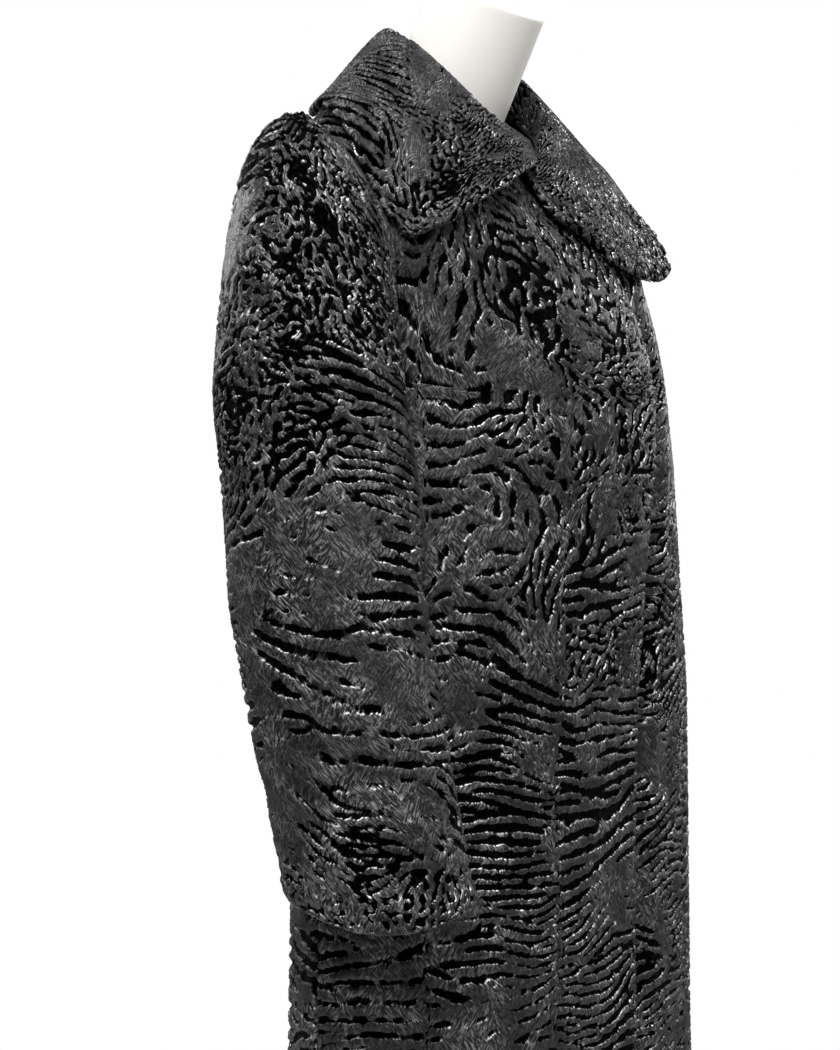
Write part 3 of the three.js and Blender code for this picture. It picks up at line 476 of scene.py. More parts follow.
def makeShell(name, surface, normals, thickness, nap, relief, x, y, wraps):
    points, bent, turn, pick, sideX, sideY = withRims(surface, normals, thickness / 2, wraps)
    flatX, flatY = x[pick] + sideX, y[pick] + sideY
    height = nap(flatX, flatY)
    lift = furRelief(height) * relief[pick] * (1 - smoothStep(turn, *shellSteps["napFades"]))
    points = points + bent * lift[..., None]
    fine = np.arange(points[..., 0].size).reshape(points.shape[:2])

    def some(length, first, last):
        count = max(shellSteps["leastInner"], length // shellSteps["inner"])
        return np.unique(np.linspace(first, last, count).astype(int))
    rows, columns = surface.shape[:2]
    firstColumn, lastColumn = (0, columns - 1 - shellSteps["inner"]) if wraps else (1, columns - 2)
    inside = np.ix_(some(rows, 1, rows - 2), some(columns, firstColumn, lastColumn))
    inner = surface[inside] - normals[inside] * thickness[inside][..., None]
    coarse = fine.size + np.arange(inner[..., 0].size).reshape(inner.shape[:2])

    def closed(line):
        return np.append(line, line[0]) if wraps else line
    quads = gridFaces(fine, wraps)
    innerQuads = gridFaces(coarse, wraps)[:, ::-1]
    faces = stitched(closed(fine[0]), closed(coarse[0]), True)
    faces += stitched(closed(fine[-1]), closed(coarse[-1]), False)
    if not wraps:
        faces += stitched(fine[:, 0], coarse[:, 0], False) + stitched(fine[:, -1], coarse[:, -1], True)
    vertices = np.concatenate([points.reshape(-1, 3), inner.reshape(-1, 3)])
    piece = linkMesh(name, vertices, quads.tolist() + innerQuads.tolist() + faces, (curledLamb, darkSatin))
    mesh = piece.data
    rise = np.sign(slopesAlong(surface, 0, wraps)[..., 2])[pick]
    across, up = furLook["paintedGleamReach"]
    ahead, behind = nap(flatX + across, flatY - up), nap(flatX - across, flatY + up)
    paintedGleam = np.clip(rise * (ahead - behind) / furLook["paintedGleamSlope"], 0, 1)  # painted highlight on the edges that face up and left, towards the light
    for key, values in (("nap", height), ("paintedGleam", paintedGleam)):
        attribute = mesh.attributes.new(key, "FLOAT", "POINT")
        attribute.data.foreach_set("value", np.append(values, np.ones(coarse.size)).astype(np.float32))
    plain = np.ones(len(mesh.polygons), np.int32)
    plain[:len(quads)] = turn.ravel()[quads].min(1) > shellSteps["rimBack"]
    mesh.polygons.foreach_set("material_index", plain)

    loops = np.zeros(len(mesh.loops), np.int32)
    mesh.loops.foreach_get("vertex_index", loops)
    u = np.append(flatX, x[inside])[loops]
    v = np.append(flatY, y[inside])[loops]
    if wraps:  # the last strip of a tube runs on to the full length round it
        fullRound = x[0, -1] + x[0, 1]
        starts = np.zeros(len(mesh.polygons), np.int32)
        totals = np.zeros(len(mesh.polygons), np.int32)
        mesh.polygons.foreach_get("loop_start", starts)
        mesh.polygons.foreach_get("loop_total", totals)
        owner = np.repeat(np.arange(len(starts)), totals)
        highest = np.zeros(len(starts))
        np.maximum.at(highest, owner, u)
        u = np.where(highest[owner] - u > fullRound / 2, u + fullRound, u)
    layer = mesh.uv_layers.new(name="furPlace")
    layer.data.foreach_set("uv", np.stack([u, v], 1).astype(np.float32).ravel() / shellSteps["uvUnit"])
    tidyMesh(piece)
    crossing = np.cross(surface[1:, 1:] - surface[:-1, :-1], surface[1:, :-1] - surface[:-1, 1:])
    area = float(np.linalg.norm(crossing, axis=-1).sum() / 2) * millimetre ** 2
    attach(piece, "root")
    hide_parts(name.replace("Fur", ""))
    triangles = 2 * len(quads) + 2 * len(innerQuads) + len(faces)
    print(name, "made,", triangles, "triangles,", round(area, 3), "m2")
    return piece, area


def tidyMesh(piece):  # merges the points that meet at the rims' corners
    shape = bmesh.new()
    shape.from_mesh(piece.data)
    bmesh.ops.remove_doubles(shape, verts=shape.verts, dist=0.01 * millimetre)
    shape.to_mesh(piece.data)
    shape.free()


furHeight = {"plateau": 0.9, "hollow": -1.45, "edge": 0.05, "soft": 0.6, "lip": 0.6, "lipPlace": 0.45,
             "lipWidth": 0.28}


def furRelief(nap):  # millimetres out of the wall's own surface
    rise = smoothStep(nap, furHeight["edge"] - furHeight["soft"], furHeight["edge"] + furHeight["soft"])
    lip = furHeight["lip"] * bell(nap - furHeight["lipPlace"], furHeight["lipWidth"])
    return furHeight["hollow"] + (furHeight["plateau"] - furHeight["hollow"]) * rise + lip


skinSeam = {
    "waves": [(29, 1, 1), (9.3, 0.5, 2), (3.7, 0.3, 3)],  # length, share of the wander, turns of the phase
    "groove": 0.9, "grooveHalf": 0.8, "lip": 0.8, "lipAway": 1.9, "lipHalf": 1.1,
}


def joinedSkins(nap, seams):  # the pattern breaks at each seam line and dips into it
    def at(x, y):
        shifted, dip = x, 0
        for place, wander, phase in seams:
            waves = [share * np.sin(y / length + turns * phase) for length, share, turns in skinSeam["waves"]]
            aside = x - (place + wander * sum(waves))
            shifted = shifted + furGrid["skinShift"] * (aside > 0)
            dip = dip + skinSeam["groove"] * bell(aside, skinSeam["grooveHalf"])
            dip = dip - skinSeam["lip"] * bell(np.abs(aside) - skinSeam["lipAway"], skinSeam["lipHalf"])
        return nap(shifted, y) - dip
    return at


def furOf(cut, x, y):
    shift = furGrid["skinShift"] * len(cut["seams"])
    patches = [(px + furGrid["skinShift"] * sum(px > seam[0] for seam in cut["seams"]), *rest)
               for px, *rest in cut["patches"]]
    return joinedSkins(growFur(x.min(), x.max() + shift, y.max(), patches, cut["seed"]), cut["seams"])


# Materials
furLook = {
    # hollow and slope paint the shade that falls into the hollows and down their walls
    "hollow": 0.0012, "slope": 0.006, "lipInPaintedShade": 0.032, "lip": 0.3, "plateau": 0.024, "deepPlateau": 0.018,
    # lip is a painted highlight on lip edges facing the light; the dim lip is the same edges in painted shade
    "stops": [(0.0, "hollow"), (0.3, "hollow"), (0.45, "slope"), (0.56, "lip"), (0.7, "plateau"),
              (1.0, "deepPlateau")],
    "blue": 1.03, "napRange": (-0.75, 1.25, 0, 1), "fringe": 0.5,
    "roughPlateau": 0.38, "roughHollow": 0.9, "roughRange": (0.45, 0.62),
    "specular": 0.32, "sheen": 0.01, "sheenRough": 0.4,
    # hair stroke range: hair tone at random, with painted sheen on the bright strokes
    "hairAcross": 72, "hairAlong": 17, "hairTurns": (28, -35), "strandToneAndSheen": (0.475, 0.635, 0.06, 6.2),
    "locks": (0.4, 0.6, 0, 1), "clouds": (0.4, 0.6, 0.3, 1.5),
    # scale, detail and distortion
    "hairNoise": (1, 3, 0.8), "locksNoise": (5, 1, 0), "cloudsNoise": (3, 2, 0.4),
    "hairBump": 0.0018, "reliefBump": 0.0016, "reliefStrength": 0.8, "edgeRange": (0.47, 0.6),
    "paintedGleamReach": (0.7, 1.3), "paintedGleamSlope": 1.0,
}


def newMaterial(name):
    material = bpy.data.materials.new(name)
    material.use_nodes = True
    nodes = material.node_tree.nodes
    return material, nodes, material.node_tree.links, nodes["Principled BSDF"]


def addRange(nodes, links, source, fromLow, fromHigh, toLow, toHigh, kind="LINEAR"):
    ramp = nodes.new("ShaderNodeMapRange")
    ramp.interpolation_type = kind
    for key, value in (("From Min", fromLow), ("From Max", fromHigh), ("To Min", toLow), ("To Max", toHigh)):
        ramp.inputs[key].default_value = value
    links.new(source, ramp.inputs["Value"])
    return ramp.outputs["Result"]


def addNoise(nodes, links, vector, scale, detail, distortion):
    noise = nodes.new("ShaderNodeTexNoise")
    noise.inputs["Scale"].default_value = scale
    noise.inputs["Detail"].default_value = detail
    noise.inputs["Distortion"].default_value = distortion
    links.new(vector, noise.inputs["Vector"])
    return noise.outputs["Fac"]


def addRamp(nodes, links, source, stops):
    ramp = nodes.new("ShaderNodeValToRGB")
    while len(ramp.color_ramp.elements) < len(stops):
        ramp.color_ramp.elements.new(0.5)
    for element, (place, colour) in zip(ramp.color_ramp.elements, stops):
        element.position = place
        element.color = (*colour, 1)
    links.new(source, ramp.inputs["Fac"])
    return ramp.outputs["Color"]


def addBump(nodes, links, height, distance, strength, below=None):
    bump = nodes.new("ShaderNodeBump")
    bump.inputs["Distance"].default_value = distance
    bump.inputs["Strength"].default_value = strength
    links.new(height, bump.inputs["Height"])
    if below:
        links.new(below, bump.inputs["Normal"])
    return bump.outputs["Normal"]


def furMaterial(name, look):  # painted shade in the hollows, painted highlights on the lips where the light falls, and hair in crossing locks whose bright strokes are partly painted sheen
    material, nodes, links, shader = newMaterial(name)
    nap = nodes.new("ShaderNodeAttribute")
    nap.attribute_name = "nap"
    place = nodes.new("ShaderNodeUVMap")
    place.uv_map = "furPlace"
    hairs = []
    for degrees in look["hairTurns"]:
        turned = nodes.new("ShaderNodeMapping")
        turned.inputs["Rotation"].default_value = (0, 0, math.radians(degrees))
        links.new(place.outputs["UV"], turned.inputs["Vector"])
        stretch = nodes.new("ShaderNodeMapping")
        stretch.inputs["Scale"].default_value = (look["hairAcross"], look["hairAlong"], 1)
        links.new(turned.outputs["Vector"], stretch.inputs["Vector"])
        hairs.append(addNoise(nodes, links, stretch.outputs["Vector"], *look["hairNoise"]))
    locks = addNoise(nodes, links, place.outputs["UV"], *look["locksNoise"])
    locks = addRange(nodes, links, locks, *look["locks"])
    hair = nodes.new("ShaderNodeMix")
    links.new(locks, hair.inputs[0])
    links.new(hairs[0], hair.inputs[2])
    links.new(hairs[1], hair.inputs[3])
    hair = hair.outputs[0]
    fringe = nodes.new("ShaderNodeMath")
    fringe.operation = "MULTIPLY_ADD"
    fringe.inputs[1].default_value = look["fringe"]
    links.new(hair, fringe.inputs[0])
    links.new(nap.outputs["Fac"], fringe.inputs[2])
    level = addRange(nodes, links, fringe.outputs["Value"], *look["napRange"])
    ramps = []
    for lip in (look["lipInPaintedShade"], look["lip"]):  # lip colour in painted shade away from the light, and as a painted highlight towards it
        values = [(at, lip if key == "lip" else look[key]) for at, key in look["stops"]]
        stops = [(at, (value, value, value * look["blue"])) for at, value in values]
        ramps.append(addRamp(nodes, links, level, stops))
    paintedGleam = nodes.new("ShaderNodeAttribute")
    paintedGleam.attribute_name = "paintedGleam"
    # mixes the painted shade and painted highlight lip colours by how much each edge faces the light
    edge = nodes.new("ShaderNodeMix")
    edge.data_type = "RGBA"
    links.new(paintedGleam.outputs["Fac"], edge.inputs["Factor"])
    links.new(ramps[0], edge.inputs[6])
    links.new(ramps[1], edge.inputs[7])
    clouds = addNoise(nodes, links, place.outputs["UV"], *look["cloudsNoise"])
    clouds = addRange(nodes, links, clouds, *look["clouds"])
    # hair strokes, with painted sheen on the bright ones, times the random mottling of the clouds
    shade = nodes.new("ShaderNodeMath")
    shade.operation = "MULTIPLY"
    links.new(addRange(nodes, links, hair, *look["strandToneAndSheen"]), shade.inputs[0])
    links.new(clouds, shade.inputs[1])
    tint = nodes.new("ShaderNodeMix")
    tint.data_type = "RGBA"
    tint.blend_type = "MULTIPLY"
    tint.inputs["Factor"].default_value = 1
    links.new(edge.outputs[2], tint.inputs[6])
    links.new(shade.outputs["Value"], tint.inputs[7])
    links.new(tint.outputs[2], shader.inputs["Base Color"])
    rough = addRange(nodes, links, level, *look["roughRange"], look["roughHollow"], look["roughPlateau"])
    links.new(rough, shader.inputs["Roughness"])
    step = addRange(nodes, links, level, *look["edgeRange"], 0, 1, "SMOOTHSTEP")
    edges = addBump(nodes, links, step, look["reliefBump"], look["reliefStrength"])
    links.new(addBump(nodes, links, hair, look["hairBump"], 1, edges), shader.inputs["Normal"])
    dark = addRange(nodes, links, level, *look["edgeRange"], 1, 0)  # hollows give no gloss: full metal over the near-black hollow colour, painted shade
    links.new(dark, shader.inputs["Metallic"])
    shader.inputs["Specular IOR Level"].default_value = look["specular"]
    shader.inputs["Sheen Weight"].default_value = look["sheen"]
    shader.inputs["Sheen Roughness"].default_value = look["sheenRough"]
    return material


grainShape = {"detail": 4, "darkAt": 0.3, "lightAt": 0.7, "bumpStrength": 0.5}


def grainMaterial(name, look):
    material, nodes, links, shader = newMaterial(name)
    coordinates = nodes.new("ShaderNodeTexCoord")
    grain = nodes.new("ShaderNodeTexNoise")
    grain.inputs["Scale"].default_value = look["scale"]
    grain.inputs["Detail"].default_value = grainShape["detail"]
    links.new(coordinates.outputs["Object"], grain.inputs["Vector"])
    stops = [(grainShape["darkAt"], look["dark"]), (grainShape["lightAt"], look["light"])]
    links.new(addRamp(nodes, links, grain.outputs["Fac"], stops), shader.inputs["Base Color"])
    bump = addBump(nodes, links, grain.outputs["Fac"], look["bump"], grainShape["bumpStrength"])
    links.new(bump, shader.inputs["Normal"])
    shader.inputs["Roughness"].default_value = look["rough"]
    shader.inputs["Metallic"].default_value = look["metal"]
    return material


satinLook = {"scale": 900, "dark": (0.004, 0.004, 0.005), "light": (0.012, 0.012, 0.014), "bump": 0.0001,
             "rough": 0.42, "metal": 0}
jerseyLook = {"scale": 1400, "dark": (0.82, 0.79, 0.75), "light": (0.87, 0.85, 0.81), "bump": 0.00006,
              "rough": 0.6, "metal": 0}
paintLook = {"scale": 500, "dark": (0.66, 0.64, 0.6), "light": (0.72, 0.7, 0.66), "bump": 0.00003,
             "rough": 0.34, "metal": 0}
wireLook = {"scale": 2500, "dark": (0.5, 0.48, 0.44), "light": (0.68, 0.66, 0.61), "bump": 0.00001,
            "rough": 0.28, "metal": 1}
curledLamb = furMaterial("curledLamb", furLook)
darkSatin = grainMaterial("darkSatin", satinLook)
formJersey = grainMaterial("formJersey", jerseyLook)
standPaint = grainMaterial("standPaint", paintLook)
platedWire = grainMaterial("platedWire", wireLook)
print("materials made")


# Panels of the body: x runs to the right from the cut's own middle or edge, y up from the hem
panel = {  # the runs are lengths up the cloth, from which the rows are counted
    "skirtRun": 763, "armholeRun": 190, "shoulderRun": 110, "topLevel": 1.993,
    "columnTries": 400, "normalsOver": (-0.03, 0, 0.03, 0.06), "turnEase": 4,
    "underlapRelief": 0.28, "underlapEase": (3, 10),
}
seamDip = {"depth": 0.7, "width": 2.6, "wall": 1.8, "rim": 0.98}  # the cloth sinks and thins into its seams


def panelLevels(step):
    lowest = body["turnedWall"] / 2 / (body["chest"] - body["hem"])
    skirtRows = np.linspace(lowest, 1, int(panel["skirtRun"] / step))
    turns = np.linspace(0, math.pi, int(panel["armholeRun"] / step))
    armholeRows = 1 + body["armholeTop"] * (1 - np.cos(turns)) / 2
    shoulderRows = np.linspace(1 + body["armholeTop"], panel["topLevel"], int(panel["shoulderRun"] / step))
    return np.concatenate([skirtRows[:-1], armholeRows[:-1], shoulderRows])


def edgeAngle(levels, x):
    return np.degrees(np.arcsin(x / bodyProfile(0, levels)[0]))


def makePanel(cut, levels, left, right, drop, relief):
    rims = cut["rims"]
    reach = bodyProfile((left + right) / 2, levels)[0]
    left = left + np.degrees(rims[0] / reach)
    right = right - np.degrees(rims[1] / reach)
    middle = len(levels) // 3
    tries = panel["columnTries"]
    dense = np.linspace(left[middle], right[middle], tries)
    along = distancesAlong(bodyPoint(dense, levels[middle])[None], 1)[0]
    count = int(along[-1] / cut["step"])
    shares = np.interp(np.linspace(0, along[-1], count), along, np.linspace(0, 1, tries))
    farLeft = left if cut["turned"] == "left" else np.full(left.shape, left.min())
    farRight = right if cut["turned"] == "right" else np.full(right.shape, right.max())
    degrees = farLeft[:, None] + (farRight - farLeft)[:, None] * shares[None, :]
    degrees = np.clip(degrees, left[:, None], right[:, None])
    level = np.broadcast_to(levels[:, None], degrees.shape)
    surface = drapedPoint(degrees, level)
    around = [bodyDirections(degrees, np.clip(level + ahead, 0, 2))[0] for ahead in panel["normalsOver"]]
    normals = unit(sum(around))
    lowered = drop(surface)
    fromLeft = distancesAlong(surface, 1)
    fromRight = fromLeft[:, -1:] - fromLeft
    height = surface[..., 2]
    turned, ease = body["turnedWidth"], panel["turnEase"]
    hemTurn = 1 - smoothStep(height, body["hem"] + turned, body["hem"] + turned + ease)
    thickness = body["wall"] + (body["turnedWall"] - body["wall"]) * hemTurn
    for distance, side, rim in ((fromLeft, "left", rims[0]), (fromRight, "right", rims[1])):
        if side == cut["turned"]:
            near = 1 - smoothStep(distance, turned, turned + ease)
            thickness = np.maximum(thickness, body["wall"] + (body["turnedEdge"] - body["wall"]) * near)
        else:
            near = bell(distance, seamDip["width"])
            lowered = lowered + seamDip["depth"] * near
            thickness = thickness - (body["wall"] - seamDip["wall"]) * near
            thickness = np.where(near > seamDip["rim"], np.minimum(thickness, 2 * rim), thickness)
    surface = surface - normals * lowered[..., None]
    zero = {"left": 0, "right": fromLeft[:, -1:], "middle": fromLeft[:, -1:] / 2}[cut["zero"]]
    x = fromLeft - zero
    y = np.broadcast_to(distancesAlong(surface[:, surface.shape[1] // 2][:, None], 0), x.shape)
    overYoke = y - y[np.searchsorted(levels, 1), 0] + body["chest"] - body["hem"]
    y = np.where(levels[:, None] < 1, height - body["hem"], overYoke)
    fur = furOf(cut, x, y)
    piece, area = makeShell(cut["name"], surface, normals, thickness, fur, relief(surface), x, y, False)


frontRight = {
    "name": "front_rightFur", "step": 2.0, "rims": (0.9, 2.3), "turned": "right", "zero": "right",
    "flat": (0.37, 0.995), "seed": 11,
    "seams": [(-112, 3.0, 0.6), (-232, 3.4, 2.1)],  # x, wander, phase
    "patches": [  # x, y, reachX, reachY, ridges' angle, period, order, flatness
        (-55, 60, 90, 60, 6, 11, 0.8, 0.1), (-180, 110, 70, 70, -14, 13, 0.7, 0.15),
        (-290, 60, 60, 90, 8, 12, 0.8, 0.25), (-60, 190, 80, 60, -8, 10, 0.85, 0.05),
        (-170, 240, 60, 60, 2, 11, 0.9, 0.1), (-290, 240, 60, 90, 0, 14, 0.85, 0.35),
        (-55, 365, 60, 45, 20, 9, 0.9, 0), (-40, 445, 45, 30, 3, 14, 0.9, 0.4),
        (-55, 520, 60, 38, 4, 9.5, 0.95, 0), (-50, 583, 45, 22, 30, 8, 0.25, 0),
        (-95, 590, 15, 22, 80, 10, 0.4, -0.4), (-55, 635, 60, 28, 13, 11, 0.95, 0),
        (-150, 440, 40, 60, 3, 10, 0.95, 0.02), (-150, 530, 40, 50, -6, 10, 0.95, 0),
        (-150, 590, 34, 30, -38, 10, 0.85, 0.02), (-270, 470, 70, 180, 0, 13, 0.9, 0.42),
        (-120, 640, 26, 40, 85, 10, 0.7, -0.1), (-200, 640, 40, 40, 35, 15, 0.6, 0.4),
        (-175, 700, 45, 26, -30, 12, 0.8, 0.05), (-60, 690, 45, 30, 35, 9, 0.45, 0),
        (-60, 740, 40, 30, 80, 13, 0.4, -0.2), (-105, 790, 35, 40, 75, 14, 0.35, -0.28),
        (-170, 760, 40, 36, 20, 9, 0.35, 0.05), (-225, 745, 36, 40, -25, 12, 0.6, 0.2),
        (-150, 830, 40, 40, 85, 11, 0.4, -0.05), (-215, 820, 36, 50, 80, 15, 0.6, 0.4),
        (-280, 690, 50, 60, -10, 12, 0.8, 0.3), (-50, 830, 36, 40, 50, 8, 0.35, 0.05),
        (-70, 900, 90, 50, 60, 10, 0.35, 0),
    ],
}
frontLeft = {
    "name": "front_leftFur", "step": 2.3, "rims": (2.3, 0.9), "turned": "left", "zero": "left",
    "flat": (0.40, 0.995), "seed": 12, "seams": [(150, 3.0, 1.3), (270, 3.2, 0.4)],
    "patches": [
        (50, 690, 60, 60, 10, 9, 0.6, 0.1), (50, 560, 60, 60, 60, 8, 0.3, -0.2),
        (50, 400, 60, 90, 22, 9, 0.9, -0.15), (110, 560, 40, 260, 16, 8, 0.9, -0.1),
        (80, 140, 80, 180, 14, 9, 0.85, -0.05),
        (210, 200, 60, 160, -6, 11, 0.85, 0.15), (210, 520, 60, 160, 4, 10, 0.9, 0.1),
        (330, 250, 60, 240, 2, 13, 0.85, 0.35), (330, 640, 60, 120, -8, 12, 0.8, 0.3),
        (150, 800, 80, 80, 70, 12, 0.5, 0), (240, 760, 50, 60, 24, 11, 0.7, 0.1),
    ],
}
backCut = {
    "name": "backFur", "step": 2.6, "rims": (0.9, 0.9), "turned": "none", "zero": "middle",
    "flat": (0.76, 1.03), "seed": 13,
    "seams": [(-205, 3.2, 0.9), (-70, 3.0, 2.2), (70, 3.2, 0.2), (205, 3.0, 1.7)],
    "patches": [
        (-290, 250, 80, 240, 4, 13, 0.85, 0.3), (-140, 140, 60, 120, -8, 11, 0.85, 0.1),
        (-140, 420, 60, 160, 5, 10, 0.9, 0.05), (0, 120, 60, 120, 8, 12, 0.8, 0.15),
        (0, 380, 60, 140, -4, 10, 0.9, 0.05), (0, 640, 60, 130, 6, 11, 0.85, 0.1),
        (140, 180, 60, 150, 10, 11, 0.85, 0.1), (140, 500, 60, 170, -6, 10, 0.9, 0.05),
        (290, 300, 80, 260, -3, 13, 0.85, 0.32), (-150, 740, 70, 90, 28, 12, 0.6, 0),
        (150, 760, 70, 90, -30, 12, 0.6, 0), (0, 880, 120, 70, 70, 11, 0.5, 0.05),
        (-250, 660, 60, 90, -14, 11, 0.8, 0.2), (250, 660, 60, 90, 14, 11, 0.8, 0.2),
    ],
}


def noDrop(surface):
    return np.zeros(surface.shape[:2])


def fullRelief(surface):
    return np.ones(surface.shape[:2])


def underlap(surface):  # how far the left front lies below the right one
    beyond = surface[..., 0] - rightEdge["x"](surface[..., 2])
    lower = body["underlapDrop"] * (1 - smoothStep(beyond, body["underlapFlat"], body["underlapEnd"]))
    return np.where(surface[..., 1] < 0, lower, 0)


def underlapRelief(surface):
    beyond = surface[..., 0] - rightEdge["x"](surface[..., 2])
    least = panel["underlapRelief"]
    return least + (1 - least) * smoothStep(beyond, *panel["underlapEase"])


def sideAngle(levels, hollow, side):  # the seam, with half its gap towards the back (1) or the front (-1)
    seam = seamAngle(levels, body[hollow])
    return seam + side * np.degrees(body["seamGap"] / 2 / bodyProfile(seam, levels)[0])


levels = panelLevels(frontRight["step"])
frontEdge = edgeAngle(levels, rightEdge["x"](bodyProfile(0, levels)[1]))
makePanel(frontRight, levels, -sideAngle(levels, "armholeFront", -1), frontEdge, noDrop, fullRelief)
levels = panelLevels(frontLeft["step"])
frontEdge = edgeAngle(levels, body["leftEdge"])
makePanel(frontLeft, levels, frontEdge, sideAngle(levels, "armholeFront", -1), underlap, underlapRelief)
levels = panelLevels(backCut["step"])
backSide = sideAngle(levels, "armholeBack", 1)
makePanel(backCut, levels, backSide, 360 - backSide, noDrop, fullRelief)
print("body panels made")

# Sleeves: x runs round the arm from the seam under it, y up from the cuff
sleeve = {
    "cuff": 774, "cuffRise": 15.6, "cuffLowestTurn": 22, "cap": 1140, "capRise": 40,
    "wall": 3, "turnedWall": 4.6, "cuffTurn": (12, 18), "thins": 0.16, "thinnest": 1.0,
    "round": 378, "capRun": 130, "tubeRun": 345,  # lengths, from which columns and rows are counted
    "clearance": 4.4, "softness": 2, "capSoftness": 0.5, "clearsBy": 3, "armholeGap": 0.5, "nearTurn": 4,
    "underarmLift": 3, "liftTurn": (0.3, 0.85), "startPull": (95, 70), "endPull": (110, 80), "pullOver": 10,
    "intoPull": 0.12, "crownStart": 0.9, "crown": 0.4, "creaseSlant": 0.22,
    "seamSink": 1.5, "seamWidth": 5, "seamRows": (2, 9), "seamRelief": 0.25,  # fur near the armhole
    "underArm": 52, "underArmPress": 0.7,  # fur under the arm
}
rightArm = curvesOf("height out ahead halfWide halfDeep", [
    [768, 257, 65, 43, 61], [783, 257, 63, 43, 62], [800, 257, 58, 44, 66], [843, 257, 48, 45, 67.5],
    [893, 257, 36, 46, 68.5], [944, 255, 25, 48, 70], [997, 253, 14, 49, 70.5], [1035, 250, 10, 50, 70.7],
    [1100, 243, -2, 50, 70], [1140, 240, -9, 50, 69], [1180, 234, -12, 48, 67],
])
leftArm = curvesOf("height out ahead halfWide halfDeep", [
    [768, 259, -38, 41, 61], [800, 259, -40, 42, 66], [893, 257, -46, 43, 69], [997, 251, -50, 44, 70],
    [1100, 239, -46, 44, 69], [1180, 225, -42, 42, 65],
])
sleeveCreases = [  # turn round the arm (0 outer, 90 front), height, spread each way, depth
    (112, 1004, 46, 9, 3.2), (128, 968, 38, 7, 2.4), (96, 930, 34, 8, 1.8), (150, 1046, 30, 8, 2.2),
    (250, 1020, 34, 9, 1.8), (300, 862, 40, 11, 1.6),
]
sleeveRight = {
    "name": "sleeve_rightFur", "side": -1, "step": 1.7, "flat": (0.38, 0.62), "seed": 21, "seams": [],
    "patches": [
        (270, 392, 36, 34, 14, 12, 0.95, 0), (165, 390, 50, 45, 20, 7, 0.2, -0.35),
        (215, 350, 30, 30, 30, 8, 0.3, -0.08), (270, 320, 36, 34, 8, 12, 0.85, 0.1),
        (160, 320, 40, 34, 40, 7, 0.25, -0.3),
        (255, 265, 50, 26, 6, 14, 0.85, 0.25), (180, 250, 45, 40, -4, 15, 0.85, 0.32),
        (265, 210, 45, 30, 2, 16, 0.85, 0.4), (196, 128, 34, 34, 0, 16, 0.85, 0.42),
        (265, 140, 40, 25, 4, 12, 0.8, 0.2), (290, 62, 40, 30, -35, 14, 0.85, 0.28),
        (220, 16, 120, 16, 40, 8, 0.2, 0), (200, 75, 45, 30, -10, 10, 0.6, 0.42),
        (60, 200, 60, 200, 4, 12, 0.8, 0.2), (350, 220, 40, 200, -6, 11, 0.8, 0.15),
        (180, 460, 60, 36, 10, 8, 0.3, -0.25), (265, 460, 40, 40, 40, 8, 0.25, -0.35),
        (60, 470, 70, 60, 15, 9, 0.5, -0.35), (95, 400, 45, 50, 30, 8, 0.3, -0.35),
    ],
}
sleeveLeft = {
    "name": "sleeve_leftFur", "side": 1, "step": 2.2, "flat": (0.37, 0.62), "seed": 22,
    "seams": [(182, 2.2, 1.1)],
    "patches": [
        (120, 380, 50, 60, -12, 12, 0.9, 0), (230, 380, 60, 60, 12, 8, 0.4, 0),
        (130, 240, 60, 60, 4, 15, 0.85, 0.35), (240, 230, 60, 70, -6, 12, 0.85, 0.2),
        (150, 100, 60, 60, 24, 13, 0.8, 0.15), (260, 100, 60, 60, -8, 14, 0.85, 0.3),
        (190, 16, 160, 18, 40, 8, 0.2, 0), (30, 220, 40, 200, 4, 11, 0.8, 0.15),
        (340, 220, 40, 200, -4, 11, 0.8, 0.15), (190, 480, 120, 50, 8, 10, 0.6, 0),
    ],
}


def armholePoint(side, turn):
    share = (1 + cosine(turn)) / 2
    level = 1 + body["armholeTop"] * share
    front, back = [seamAngle(level, body[key]) for key in ("armholeFront", "armholeBack")]
    degrees = side * np.where(sine(turn) > 0, front, back)
    return bodyPoint(degrees, level), degrees, level


def sleevePoint(side, arm, turn, height):
    inward = 0
    for creaseTurn, creaseHeight, halfTurn, halfHeight, depth in sleeveCreases:
        slant = height - creaseHeight + sleeve["creaseSlant"] * turnBetween(turn, creaseTurn)
        inward = inward + depth * bell(turnBetween(turn, creaseTurn), halfTurn) * bell(slant, halfHeight)
    out = arm["out"](height) + (arm["halfWide"](height) - inward) * cosine(turn)
    ahead = arm["ahead"](height) + (arm["halfDeep"](height) - inward) * sine(turn)
    return clearOfSkirt(np.stack([side * out, -ahead, height], -1), sleeve["clearance"], sleeve["softness"])


def hermite(start, startPull, end, endPull, s):
    s = np.asarray(s)[..., None]
    s2, s3 = s * s, s * s * s
    return (start * (2 * s3 - 3 * s2 + 1) + startPull * (s3 - 2 * s2 + s)
            + end * (3 * s2 - 2 * s3) + endPull * (s3 - s2))


